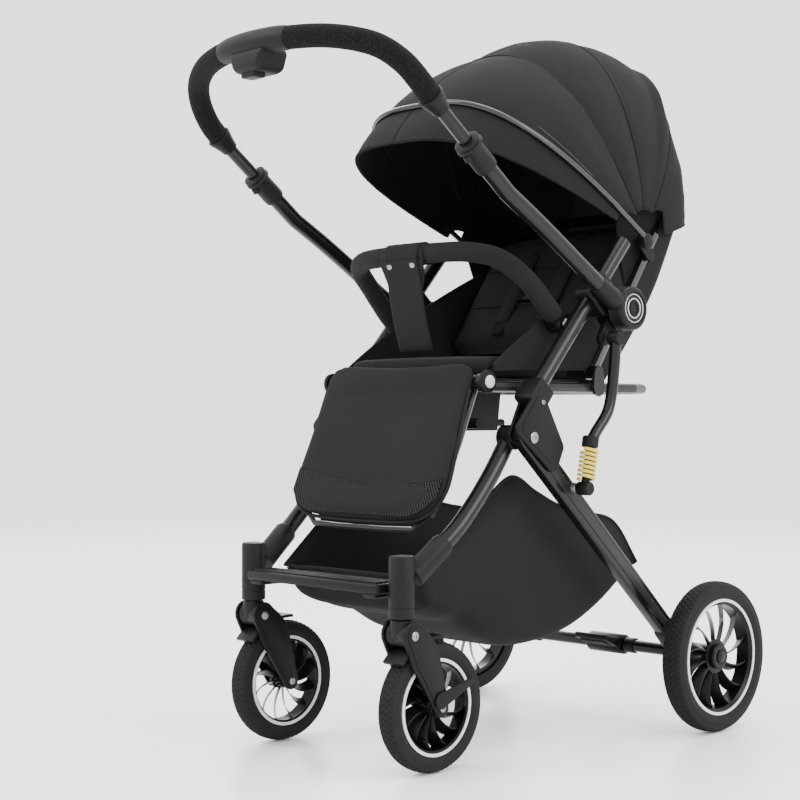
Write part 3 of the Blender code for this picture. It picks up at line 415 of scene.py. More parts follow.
def pipe_mesh(points, radius, radii=None, sides=10):
    """A round tube along points; radii scale its radius point by point."""
    curve = bpy.data.curves.new("path", "CURVE")
    curve.dimensions = "3D"
    curve.bevel_depth = radius
    curve.bevel_resolution = sides
    curve.use_fill_caps = True
    spline = curve.splines.new("POLY")
    spline.points.add(len(points) - 1)
    for index, (place, point) in enumerate(zip(spline.points, points)):
        place.co = (*point, 1.0)
        place.radius = radii[index] if radii else 1.0
    obj = bpy.data.objects.new("path", curve)
    bpy.context.scene.collection.objects.link(obj)
    bpy.context.view_layer.update()
    mesh = bpy.data.meshes.new_from_object(obj.evaluated_get(bpy.context.evaluated_depsgraph_get()))
    bpy.data.objects.remove(obj)
    bpy.data.curves.remove(curve)
    bm = bmesh.new()
    bm.from_mesh(mesh)
    bmesh.ops.remove_doubles(bm, verts=bm.verts, dist=0.000001)
    bmesh.ops.recalc_face_normals(bm, faces=bm.faces)
    bpy.data.meshes.remove(mesh)
    return bm


def pipe(name, points, radius, material, body, radii=None, sides=10, **rest):
    return piece(pipe_mesh(points, radius, radii, sides), name, material, body, **rest)


def turned_mesh(profile, centre, axis=(1, 0, 0), steps=72):
    """A shape turned about an axis: (radius, distance along the axis) pairs."""
    centre = Vector(centre)
    axis = Vector(axis).normalized()
    side = axis.orthogonal().normalized()
    bm = bmesh.new()
    verts = [bm.verts.new(centre + side * radius + axis * run) for radius, run in profile]
    edges = [bm.edges.new(pair) for pair in zip(verts, verts[1:])]
    bmesh.ops.spin(bm, geom=verts + edges, cent=centre, axis=axis, angle=2 * math.pi, steps=steps,
        use_merge=True)
    bmesh.ops.remove_doubles(bm, verts=bm.verts, dist=0.000002)
    bmesh.ops.recalc_face_normals(bm, faces=bm.faces)
    return bm


def facing(profile, side):
    """The profile with its runs turned to face one side."""
    return [(radius, run * side) for radius, run in profile]


def across(side, low, high):
    """The x places of a plate that lies between two distances from the middle, in order."""
    return sorted((side * low, side * high))


def turned(name, profile, centre, material, body, axis=(1, 0, 0), steps=72, **rest):
    return piece(turned_mesh(profile, centre, axis, steps), name, material, body, **rest)


def rounded(outline, radius, steps=5):
    """The outline with each corner replaced by an arc."""
    points = []
    count = len(outline)
    for index, corner in enumerate(outline):
        corner = Vector(corner)
        before = (Vector(outline[index - 1]) - corner).normalized()
        after = (Vector(outline[(index + 1) % count]) - corner).normalized()
        half = before.angle(after) / 2
        run = radius / math.tan(half)
        centre = corner + (before + after).normalized() * radius / math.sin(half)
        start = corner + before * run - centre
        end = corner + after * run - centre
        for step in range(steps + 1):
            turn = start.lerp(end, step / steps).normalized() * radius
            points.append(tuple(centre + turn))
    return points


def capsule(start, end, radius_start, radius_end, steps=12):
    """The outline of a bar with a round end at each of two places."""
    angle = math.atan2(end[1] - start[1], end[0] - start[0])
    points = []
    for step in range(steps + 1):
        t = angle + math.pi / 2 + math.pi * step / steps
        points.append((start[0] + radius_start * math.cos(t),
            start[1] + radius_start * math.sin(t)))
    for step in range(steps + 1):
        t = angle - math.pi / 2 + math.pi * step / steps
        points.append((end[0] + radius_end * math.cos(t), end[1] + radius_end * math.sin(t)))
    return points


def plate_mesh(outline, x_low, x_high, bevel=0.0012, segments=3):
    """A side-view outline filled between two x places, with rounded edges."""
    bm = bmesh.new()
    face = bm.faces.new([bm.verts.new(at(x_low, *point)) for point in outline])
    made = bmesh.ops.extrude_face_region(bm, geom=[face])
    moved = [item for item in made["geom"] if isinstance(item, bmesh.types.BMVert)]
    bmesh.ops.translate(bm, vec=(x_high - x_low, 0, 0), verts=moved)
    bmesh.ops.recalc_face_normals(bm, faces=bm.faces)
    if bevel:
        rims = [e for e in bm.edges if abs(e.verts[0].co.x - e.verts[1].co.x) < 1e-7]
        bmesh.ops.bevel(bm, geom=rims, offset=bevel, segments=segments, profile=0.5,
            affect="EDGES", material=-1)
    return bm


def plate(name, outline, x_low, x_high, material, body, bevel=0.0012, **rest):
    return piece(plate_mesh(outline, x_low, x_high, bevel), name, material, body, **rest)


def block_mesh(low, high, bevel=0.003, segments=4):
    bm = bmesh.new()
    low = Vector(low)
    high = Vector(high)
    bmesh.ops.create_cube(bm, size=1.0)
    bmesh.ops.scale(bm, vec=high - low, verts=bm.verts)
    bmesh.ops.translate(bm, vec=(low + high) / 2, verts=bm.verts)
    bmesh.ops.bevel(bm, geom=bm.edges[:], offset=bevel, segments=segments, profile=0.5,
        affect="EDGES", material=-1)
    return bm


def merge(target, *others):
    """Adds the other meshes to the first."""
    for other in others:
        mesh = bpy.data.meshes.new("part")
        other.to_mesh(mesh)
        other.free()
        target.from_mesh(mesh)
        bpy.data.meshes.remove(mesh)
    return target


def sheet_mesh(shape, columns, rows):
    """A grid carried onto a surface by shape(u, v), each from 0 to 1, with its UV map kept."""
    bm = bmesh.new()
    bmesh.ops.create_grid(bm, x_segments=columns, y_segments=rows, size=0.5, calc_uvs=True)
    for vert in bm.verts:
        vert.co = shape(vert.co.x + 0.5, vert.co.y + 0.5)
    bmesh.ops.recalc_face_normals(bm, faces=bm.faces)
    return bm


def declare_sheet(obj, thickness, flat):
    """Gives a sheet its thickness; the flat size it is handed is not used."""
    solid(obj, thickness)
    cloth_area(obj.data)


def solid(obj, thickness):
    modifier = obj.modifiers.new("thickness", "SOLIDIFY")
    modifier.thickness = thickness
    modifier.offset = 0.0


def subdivided(obj):
    modifier = obj.modifiers.new("smooth", "SUBSURF")
    modifier.levels = 1
    modifier.render_levels = 1


# ---------------------------------------------------------------- wheels


def tyre(name, centre, radius, bead, width, body, stands_for, diamonds):
    """A rounded tyre whose crown and shoulders carry rows of small diamond knobs."""
    half = width / 2
    profile = [(bead, half * 0.80), (bead + 0.004, half * 0.92)]
    profile += [(radius - 0.015, half), (radius - 0.0125, half * 0.985)]
    count = 28
    for step in range(count + 1):
        turn = math.pi / 2 - math.pi * step / count
        reach = 0.0122 * max(0.0, math.cos(turn)) ** 0.55
        profile.append((radius - 0.0122 + reach, half * math.sin(turn) * 0.97))
    profile += [(radius - 0.0125, -half * 0.985), (radius - 0.015, -half)]
    profile += [(bead + 0.004, -half * 0.92), (bead, -half * 0.80)]
    bm = turned_mesh(profile, centre, steps=diamonds * 5)
    for vert in bm.verts:
        run = vert.co.x - centre[0]
        arm = Vector((0, vert.co.y - centre[1], vert.co.z - centre[2]))
        if abs(run) > half * 0.80 or arm.length < radius - 0.0135:
            continue
        turn = math.atan2(arm.z, arm.y)
        around = (turn / (2 * math.pi) * diamonds) % 1.0
        lateral = (run / half) * 3.0
        first = abs(((around + lateral * 0.5) % 1.0) - 0.5)
        second = abs(((around - lateral * 0.5) % 1.0) - 0.5)
        groove = min(1.0, min(first, second) / 0.15)
        depth = 0.0024 * (1.0 - groove)
        vert.co -= Vector((run * 0.04, arm.y / arm.length, arm.z / arm.length)) * depth
    piece(bm, name, TYRE, body, stands_for, "tyre", angle=None)


def rim_ring(name, centre, outer, inner, half, face, body, stands_for):
    """The moulded rim with a rolled lip, and the thin bright ring let into its face."""
    profile = [(inner, -half), (outer - 0.0025, -half), (outer, -half + 0.002),
        (outer, half - 0.002), (outer - 0.002, half + 0.0012), (outer - 0.0055, half + 0.0016),
        (outer - 0.0070, half), (inner + 0.002, half - 0.0012), (inner, half - 0.0030),
        (inner, -half)]
    shape = facing(profile, face)
    turned(name, shape, centre, RIM, body, steps=96, stands_for=stands_for, slot="rim_plastic")
    line = [(outer - 0.0058, half + 0.0010), (outer - 0.0058, half + 0.0026),
        (outer - 0.0014, half + 0.0024), (outer - 0.0014, half + 0.0008),
        (outer - 0.0058, half + 0.0010)]
    shape = facing(line, face)
    turned(name + "_line", shape, centre, LINE, body, steps=96)


def spokes(name, centre, inner, outer, count, face, body, lean, thick):
    """Thin blades that sweep and twist from the hub to the rim, all round."""
    bm = bmesh.new()
    rows = 7
    for index in range(count):
        turn = 2 * math.pi * index / count
        blade = bmesh.new()
        bmesh.ops.create_grid(blade, x_segments=2, y_segments=rows, size=0.5)
        for vert in blade.verts:
            t = vert.co.y + 0.5
            side = vert.co.x * 2
            reach = inner + (outer - inner) * t
            sweep = turn + lean * t * t
            lean_over = side * 0.0042 * (0.5 + t)
            arc = sweep + lean_over / reach
            run = face * (side * (0.0055 + 0.0030 * t) - 0.0015)
            vert.co = Vector((run, math.cos(arc) * reach, math.sin(arc) * reach))
            vert.co += Vector(centre)
        bmesh.ops.solidify(blade, geom=blade.faces[:], thickness=thick)
        bmesh.ops.recalc_face_normals(blade, faces=blade.faces)
        merge(bm, blade)
    piece(bm, name, RIM, body, slot="rim_plastic", angle=50)


def wheel_hub(name, centre, radius, low, high, face, body):
    """A stepped hub barrel with a domed cap on its outer end."""
    barrel = [(0.0, low), (radius * 0.80, low), (radius * 0.86, low + 0.001),
        (radius * 0.86, high - 0.009), (radius, high - 0.008), (radius, high - 0.002),
        (radius * 0.9, high), (radius * 0.62, high), (radius * 0.58, high - 0.001),
        (radius * 0.52, high - 0.001), (radius * 0.50, high + 0.0012),
        (radius * 0.30, high + 0.0024), (0.0, high + 0.0028)]
    shape = facing(barrel, face)
    turned(name, shape, centre, RIM, body, steps=64, slot="rim_plastic")


def wheels():
    for side, name in SIDES:
        centre = at(side * REAR_WHEEL_X, *REAR_AXLE)
        body = f"rear_wheel_{name}"
        tyre(f"rear_tread_{name}", centre, 0.115, 0.0895, 0.036, body, [f"rear_tyre_{name}"], 84)
        rim_ring(f"rear_rim_ring_{name}", centre, 0.0900, 0.0795, 0.0125, side, body,
            [f"rear_rim_{name}"])
        spokes(f"rear_spokes_{name}", centre, 0.0150, 0.0805, 12, side, body, 0.30, 0.0024)
        wheel_hub(f"rear_hub_{name}", centre, 0.0195, -0.0470, 0.0128, side, body)
        turned(f"rear_hub_web_{name}", [(0.012, 0.0), (0.026, 0.0005 * side),
            (0.026, 0.0040 * side), (0.012, 0.0060 * side)], centre, RIM, body)
        centre = at(side * CASTER_X, *FRONT_AXLE)
        body = f"front_wheel_{name}"
        tyre(f"front_tread_{name}", centre, 0.0895, 0.0675, 0.032, body, [f"front_tyre_{name}"],
            66)
        for face, label in ((1, "outer"), (-1, "inner")):
            rim_ring(f"front_rim_{label}_{name}", centre, 0.0680, 0.0590, 0.0110, side * face,
                body, [f"front_rim_{name}"] if face == 1 else [])
        spokes(f"front_spokes_{name}", centre, 0.0110, 0.0600, 12, side, body, 0.34, 0.0022)
        wheel_hub(f"front_hub_{name}", centre, 0.0135, -0.0160, 0.0150, side, body)


# ---------------------------------------------------------------- front legs and casters


def front_end():
    for side, name in SIDES:
        x = side * 0.170
        bend = [at(x, *LEG_PIVOT), at(x, -0.150, 0.404), at(x, -0.194, 0.355)]
        bend += [at(side * 0.168, -0.232, 0.319), at(side * 0.1585, -0.290, 0.2735)]
        pipe(f"front_leg_tube_{name}", smooth_path(bend, 8), TUBE_RADIUS, TUBE, "front_legs",
            stands_for=[f"front_leg_{name}"], slot="gunmetal_tube")
        eye = [(0.0, -0.0125), (0.0165, -0.0125), (0.0178, -0.0112), (0.0178, 0.0110)]
        eye += [(0.0165, 0.0122), (0.0, 0.0122)]
        turned(f"front_leg_eye_{name}", eye, at(side * 0.1715, *LEG_PIVOT), PLASTIC, "front_legs")
        housing(side, name)
        caster(side, name)
    foot_tray()


def housing(side, name):
    """The caster's upright barrel, with its cap, waist band and the leg's socket."""
    x = side * CASTER_X
    barrel = [(0.0, 0.213), (0.0125, 0.213), (0.0174, 0.2142), (0.0176, 0.2270), (0.0170, 0.2276),
        (0.0170, 0.2286), (0.0176, 0.2292), (0.0176, 0.2950), (0.0164, 0.2976), (0.0060, 0.2990),
        (0.0, 0.2990)]
    bm = turned_mesh(barrel, at(x, SWIVEL_Y, 0.0), (0, 0, 1), 64)
    mouth = at(side * 0.1665, -0.2420, 0.3112)
    end = at(side * 0.1590, -0.2950, 0.2695)
    path = [mouth, mouth.lerp(end, 0.06), mouth.lerp(end, 0.5), end]
    socket = pipe_mesh(path, 0.0170, [0.90, 1.0, 1.0, 1.02], sides=12)
    merge(bm, socket)
    piece(bm, f"caster_barrel_{name}", PLASTIC_SATIN, "front_legs", [f"caster_housing_{name}"],
        "black_plastic")


def foot_tray():
    """The tray between the casters, with a raised lip and rows of tread."""
    low = at(-0.1385, -0.342, 0.246)
    high = at(0.1385, -0.296, 0.2595)
    bm = block_mesh(low, high, 0.004)
    for index in range(5):
        y = -0.3345 + index * 0.0077
        merge(bm, block_mesh(at(-0.130, y, 0.2585), at(0.130, y + 0.0034, 0.2620), 0.0008, 2))
    for x in (-0.120, 0.120):
        boss = block_mesh(at(x - 0.013, -0.3400, 0.2400), at(x + 0.013, -0.298, 0.2475), 0.003, 3)
        merge(bm, boss)
    piece(bm, "foot_tray_moulding", PLASTIC, "front_legs", ["foot_tray"], "black_plastic")


def caster(side, name):
    """The swivel head, and the sprung fork with its arched blades."""
    x = side * CASTER_X
    head = [(0.0, -0.0176), (0.0140, -0.0176), (0.0162, -0.0160), (0.0165, -0.0050),
        (0.0158, -0.0040), (0.0158, 0.0040), (0.0165, 0.0050), (0.0162, 0.0160), (0.0140, 0.0176),
        (0.0, 0.0176)]
    bm = turned_mesh(head, at(x, *FORK_PIVOT))
    neck = [(0.0, 0.186), (0.0150, 0.188), (0.0160, 0.2050), (0.0150, 0.2118), (0.0, 0.2122)]
    merge(bm, turned_mesh(neck, at(x, SWIVEL_Y, 0.0), (0, 0, 1), 56))
    piece(bm, f"caster_swivel_{name}", PLASTIC_SATIN, f"caster_{name}", [f"caster_head_{name}"],
        "black_plastic")
    body = f"fork_{name}"
    shoulder = (-0.290, 0.160)
    outline = arch(FORK_PIVOT, shoulder, FRONT_AXLE, 0.0195, 0.0270, 0.0128)
    bm = None
    for blade in (-1, 1):
        low, high = sorted((x + blade * 0.0182, x + blade * 0.0232))
        part = plate_mesh(outline, low, high, 0.0014, 3)
        bm = part if bm is None else merge(bm, part)
        inner = arch(FORK_PIVOT, shoulder, FRONT_AXLE, 0.0130, 0.0200, 0.0080)
        low, high = sorted((x + blade * 0.0228, x + blade * 0.0243))
        merge(bm, plate_mesh(inner, low, high, 0.0006, 2))
    hood = []
    for reach, first, last in ((0.0990, 86, 138), (0.0945, 138, 86)):
        for step in range(14):
            turn = math.radians(first + (last - first) * step / 13)
            y = FRONT_AXLE[0] + reach * math.cos(turn)
            hood.append((y, FRONT_AXLE[1] + reach * math.sin(turn)))
    merge(bm, plate_mesh(hood, x - 0.0186, x + 0.0186, 0.0008, 2))
    low, high = sorted((x + side * 0.0243, x + side * 0.0272))
    merge(bm, plate_mesh(capsule((-0.264, 0.100), (-0.205, 0.121), 0.0110, 0.0052), low, high,
        0.0010))
    piece(bm, f"fork_blades_{name}", PLASTIC, body, [f"caster_fork_{name}"], "black_plastic")
    for blade in (-1, 1):
        start = x + blade * 0.0230
        for place, radius, label in ((FORK_PIVOT, 0.0062, "pivot"), (FRONT_AXLE, 0.0052, "axle")):
            shape = [(0.0, 0.0), (radius, 0.0), (radius, blade * 0.0016),
                (radius * 0.8, blade * 0.0024), (radius * 0.45, blade * 0.0024),
                (radius * 0.40, blade * 0.0014), (0.0, blade * 0.0014)]
            end = "outer" if blade * side > 0 else "inner"
            centre = at(start, *place)
            turned(f"fork_{label}_{end}_{name}", shape, centre, STEEL, body, steps=40)


def arch(start, middle, end, first, second, third):
    """The outline of a bent blade along a smooth curve through three places."""
    points = smooth_path([(*start, 0), (*middle, 0), (*end, 0)], 8)
    left = []
    right = []
    last = len(points) - 1
    for index, point in enumerate(points):
        ahead = points[min(index + 1, last)] - points[max(index - 1, 0)]
        normal = Vector((-ahead.y, ahead.x, 0)).normalized()
        t = index / last
        wide = first + (second - first) * min(1, t * 2)
        if t > 0.5:
            wide = second + (third - second) * (t * 2 - 1)
        left.append(point + normal * wide)
        right.append(point - normal * wide)
    outline = [tuple(point.xy) for point in left]
    outline += round_end(end, third, points[-1] - points[-2])
    outline += [tuple(point.xy) for point in reversed(right)]
    return outline + round_end(start, first, points[0] - points[1])


def round_end(centre, radius, ahead, steps=9):
    """The points round the end of a blade, between its two sides."""
    angle = math.atan2(ahead.y, ahead.x) + math.pi / 2
    turns = [angle - math.pi * step / steps for step in range(1, steps)]
    return [(centre[0] + radius * math.cos(turn),
        centre[1] + radius * math.sin(turn)) for turn in turns]


# ---------------------------------------------------------------- rear legs, brake and links


def rear_end():
    for side, name in SIDES:
        low, high = across(side, 0.190, 0.209)
        bm = plate_mesh(capsule(LEG_PIVOT, REAR_AXLE, 0.0175, 0.0140), low, high, 0.0035, 4)
        piece(bm, f"rear_leg_extrusion_{name}", TUBE, "rear_legs", [f"rear_leg_{name}"],
            "gunmetal_tube")
        lean = math.atan2(LEG_PIVOT[1] - REAR_AXLE[1], LEG_PIVOT[0] - REAR_AXLE[0])
        start = along(LEG_PIVOT, lean, -0.030)
        stop = along(REAR_AXLE, lean, 0.070)
        band = capsule(start, stop, 0.0070, 0.0055)
        low, high = across(side, 0.2082, 0.2102)
        plate(f"rear_leg_inlay_{name}", band, low, high, GREY_TUBE, "rear_legs", 0.0006)
        sleeve = capsule(REAR_AXLE, along(REAR_AXLE, lean, 0.060), 0.0190, 0.0172)
        low, high = across(side, 0.1886, 0.2106)
        plate(f"axle_sleeve_{name}", sleeve, low, high, PLASTIC_SATIN, "rear_legs", 0.0035)
        eye = [(0.0, 0.0), (0.0085, 0.0), (0.0085, 0.0022), (0.0065, 0.0084), (0.0, 0.0084)]
        shape = facing(eye, side)
        turned(f"link_stud_{name}", shape, at(side * 0.2088, *LINK_FOOT), STEEL, "rear_legs",
            steps=36)
        link(side, name)
    shaft = [(0.0, -0.2690), (0.0058, -0.2690), (0.0058, -0.1880), (0.0095, -0.1876)]
    shaft += [(0.0095, 0.1876), (0.0058, 0.1880), (0.0058, 0.2690), (0.0, 0.2690)]
    turned("rear_axle_tube", shaft, at(0, *REAR_AXLE), TUBE, "rear_legs",
        stands_for=["rear_axle"])
    for x in (-0.100, 0.100):
        clip = [(0.0096, -0.009), (0.0122, -0.008), (0.0122, 0.008), (0.0096, 0.009)]
        turned(f"axle_clip_{'left' if x > 0 else 'right'}", clip, at(x, *REAR_AXLE), PLASTIC,
            "rear_legs")
    barrel = [(0.0101, -0.0345), (0.0150, -0.0345), (0.0158, -0.0330), (0.0158, 0.0330)]
    barrel += [(0.0150, 0.0345), (0.0101, 0.0345), (0.0101, -0.0345)]
    bm = turned_mesh(barrel, at(0.053, *REAR_AXLE))
    reach = along(REAR_AXLE, PEDAL_ANGLE, 0.046)
    root = along(REAR_AXLE, PEDAL_ANGLE, 0.014)
    merge(bm, plate_mesh(capsule(root, reach, 0.0080, 0.0048), 0.0210, 0.0850, 0.0020))
    for index in range(5):
        spot = along(REAR_AXLE, PEDAL_ANGLE, 0.022 + index * 0.0055, -0.0068)
        merge(bm, turned_mesh([(0.0, -0.027), (0.0012, -0.027), (0.0012, 0.027), (0.0, 0.027)],
            at(0.053, *spot), steps=12))
    piece(bm, "brake_tread", PLASTIC, "brake_pedal", ["brake_pedal"], "black_plastic")


def link(side, name):
    """The bent link tube, its collar, and the coil spring round its lower rod."""
    x = side * LINK_X
    body = f"link_{name}"
    collar = (-0.004, 0.447)
    points = [at(x, *LINK_TOP), at(x, 0.050, 0.545), at(x, 0.038, 0.495), at(x, 0.010, 0.463)]
    points.append(at(x, *collar))
    pipe(f"link_tube_{name}", smooth_path(points, 8), 0.0085, TUBE, body,
        stands_for=[f"suspension_link_{name}"], slot="gunmetal_tube")
    knob = [(0.0, -0.0095), (0.0105, -0.0095), (0.0115, -0.0085), (0.0115, 0.0085)]
    knob += [(0.0105, 0.0098), (0.0045, 0.0100), (0.0, 0.0100)]
    shape = facing(knob, side)
    turned(f"link_knob_{name}", shape, at(x, *LINK_TOP), PLASTIC, body)
    top = at(x, *collar)
    foot = at(x, *LINK_FOOT)
    reach = (foot - top).normalized()
    length = (foot - top).length
    cup = [(0.0, -0.0100), (0.0100, -0.0090), (0.0122, -0.0070), (0.0122, 0.0060),
        (0.0108, 0.0075), (0.0060, 0.0078), (0.0060, length), (0.0, length)]
    turned(f"link_rod_{name}", cup, top, PLASTIC_SATIN, body, reach, 48)
    eye = [(0.0, -0.0105), (0.0092, -0.0105), (0.0100, -0.0095), (0.0100, 0.0095)]
    eye += [(0.0092, 0.0105), (0.0, 0.0105)]
    turned(f"link_eye_{name}", eye, foot, PLASTIC, body, steps=48)
    turns = 7.0
    count = int(turns * 20)
    level = Vector((0, reach.z, -reach.y))
    out = Vector((1, 0, 0))
    coil = []
    start = 0.0105
    stop = length - 0.0118
    for step in range(count + 1):
        t = step / count
        turn = 2 * math.pi * turns * t
        centre = top + reach * (start + (stop - start) * t)
        coil.append(centre + (level * math.cos(turn) + out * math.sin(turn)) * 0.0112)
    pipe(f"link_coil_{name}", coil, 0.0025, SPRING, body, sides=4,
        stands_for=[f"coil_spring_{name}"], slot="spring_coat")


# ---------------------------------------------------------------- main frame


def main_frame():
    for side, name in SIDES:
        x = side * MAIN_TUBE_X
        low = MAIN_TUBE_LOW
        end = along(low, MAIN_TUBE_TILT, 0.3172)
        tip = along(low, MAIN_TUBE_TILT, 0.3185)
        path = [at(x, *low), at(x, *along(low, MAIN_TUBE_TILT, 0.15)), at(x, *end), at(x, *tip)]
        pipe(f"main_tube_smooth_{name}", path, TUBE_RADIUS, TUBE, "frame", radii=[1, 1, 1, 0.86],
            stands_for=[f"main_tube_{name}"], slot="gunmetal_tube")
        bracket(side, name)
        hub(side, name)


def bracket(side, name):
    kite = [(-0.096, 0.531), (-0.044, 0.441), (-0.064, 0.399), (-0.152, 0.466)]
    low, high = across(side, 0.2104, 0.2162)
    bm = plate_mesh(rounded(kite, 0.012, 8), low, high, 0.0024, 4)
    inset = [(-0.098, 0.520), (-0.052, 0.442), (-0.068, 0.412), (-0.140, 0.467)]
    low, high = across(side, 0.2150, 0.2172)
    merge(bm, plate_mesh(rounded(inset, 0.010, 8), low, high, 0.0009, 3))
    inner = [(-0.096, 0.531), (-0.070, 0.495), (-0.092, 0.438), (-0.136, 0.452)]
    low, high = across(side, 0.1830, 0.1885)
    merge(bm, plate_mesh(rounded(inner, 0.009, 6), low, high, 0.0016, 3))
    block = rounded([along(MAIN_TUBE_LOW, MAIN_TUBE_TILT, a, b) for a, b in ((-0.017, -0.019),
        (0.024, -0.0175), (0.024, 0.0175), (-0.017, 0.019))], 0.005, 5)
    low, high = across(side, 0.1824, 0.2158)
    merge(bm, plate_mesh(block, low, high, 0.0030, 4))
    piece(bm, f"bracket_moulding_{name}", PLASTIC, "frame", [f"cross_bracket_{name}"],
        "black_plastic")
    for label, place, radius in (("pivot", LEG_PIVOT, 0.0080),
        ("upper", (-0.093, 0.505), 0.0036)):
        shape = [(0.0, 0.0), (radius, 0.0), (radius, 0.0010), (radius * 0.85, 0.0018),
            (radius * 0.40, 0.0018), (radius * 0.36, 0.0008), (0.0, 0.0008)]
        shape = facing(shape, side)
        turned(f"bracket_{label}_rivet_{name}", shape, at(side * 0.2170, *place), STEEL, "frame",
            steps=40)
    stub = along(MAIN_TUBE_LOW, MAIN_TUBE_TILT, 0.012)
    shape = [(0.0, 0.0), (0.0075, 0.0), (0.0070, 0.018), (0.0, 0.018)]
    shape = facing(shape, side)
    turned(f"rail_stub_{name}", shape, at(side * 0.1655, *stub), GREY_TUBE, "frame", steps=40)
    seat = [(0.0, 0.0), (0.0150, 0.0), (0.0165, 0.0015), (0.0165, 0.0060), (0.0150, 0.0075)]
    seat += [(0.0102, 0.0078), (0.0, 0.0078)]
    shape = facing(seat, side)
    place = at(side * 0.1600, *FOOTREST_PIVOT)
    turned(f"footrest_knob_{name}", shape, place, PLASTIC, "frame", steps=56)
    cap = [(0.0092, 0.0), (0.0092, 0.0020), (0.0080, 0.0034), (0.0040, 0.0042), (0.0, 0.0044)]
    shape = facing(cap, side)
    place = at(side * 0.1672, *FOOTREST_PIVOT)
    turned(f"footrest_knob_cap_{name}", shape, place, WHITE, "frame", steps=56)


def hub(side, name):
    """The clamp on the main tube, and the big knuckle that the handle turns on."""
    clamp = [(0.189, -0.019), (0.241, -0.019), (0.241, 0.036), (0.189, 0.036)]
    outline = [along(MAIN_TUBE_LOW, MAIN_TUBE_TILT, a, b) for a, b in clamp]
    low, high = across(side, 0.1792, 0.2100)
    bm = plate_mesh(rounded(outline, 0.010, 6), low, high, 0.0045, 4)
    disc = [(0.0, -0.0110), (0.0290, -0.0110), (0.0310, -0.0090), (0.0318, 0.0090)]
    disc += [(0.0318, 0.0128), (0.0, 0.0128)]
    merge(bm, turned_mesh(facing(disc, side), at(side * 0.1980, *HANDLE_PIVOT)))
    low, high = across(side, 0.2010, 0.2106)
    merge(bm, plate_mesh(capsule(HANDLE_PIVOT, LINK_TOP, 0.016, 0.0115), low, high, 0.0020))
    piece(bm, f"hub_clamp_{name}", PLASTIC, "frame", [f"hub_mount_{name}"], "black_plastic")
    for distance in (0.196, 0.234):
        ring = [(0.0127, -0.0030), (0.0165, -0.0026), (0.0165, 0.0026), (0.0127, 0.0030)]
        centre = at(side * MAIN_TUBE_X, *along(MAIN_TUBE_LOW, MAIN_TUBE_TILT, distance))
        axis = (0, math.cos(MAIN_TUBE_TILT), math.sin(MAIN_TUBE_TILT))
        label = "low" if distance < 0.2 else "high"
        turned(f"hub_collar_{label}_{name}", ring, centre, PLASTIC_SATIN, "frame", axis, 56)
    knuckle = [(0.0, 0.0), (0.0315, 0.0), (0.0335, 0.0018), (0.0338, 0.0040), (0.0330, 0.0052),
        (0.0330, 0.0200), (0.0322, 0.0236), (0.0295, 0.0262), (0.0262, 0.0268), (0.0248, 0.0262),
        (0.0242, 0.0248), (0.0060, 0.0246), (0.0, 0.0246)]
    shape = facing(knuckle, side)
    bm = turned_mesh(shape, at(side * 0.2124, *HANDLE_PIVOT), steps=96)
    neck = [at(side * 0.2235, 0.0650, 0.6540), at(side * 0.2250, 0.055, 0.6585)]
    neck += [at(side * 0.2250, 0.040, 0.6670), at(side * 0.2250, 0.020, 0.6790)]
    merge(bm, pipe_mesh(smooth_path(neck, 5), 0.0150,
        [1.0] * 8 + [0.99, 0.98, 0.96, 0.94, 0.92, 0.90, 0.88, 0.87], sides=12))
    piece(bm, f"handle_knuckle_{name}", PLASTIC_SATIN, "handle", slot="black_plastic")
    face = side * 0.2370
    rings = ((0.0216, 0.0204), (0.0152, 0.0136), (0.0098, 0.0086))
    for index, (outer, inner) in enumerate(rings):
        ring = [(inner, 0.0), (inner, 0.0010), (inner + 0.0004, 0.0014), (outer - 0.0004, 0.0014)]
        ring += [(outer, 0.0010), (outer, 0.0), (inner, 0.0)]
        shape = facing(ring, side)
        finish = WHITE if index < 2 else PLASTIC
        place = at(face, *HANDLE_PIVOT)
        turned(f"knuckle_ring_{index}_{name}", shape, place, finish, "handle", steps=80)


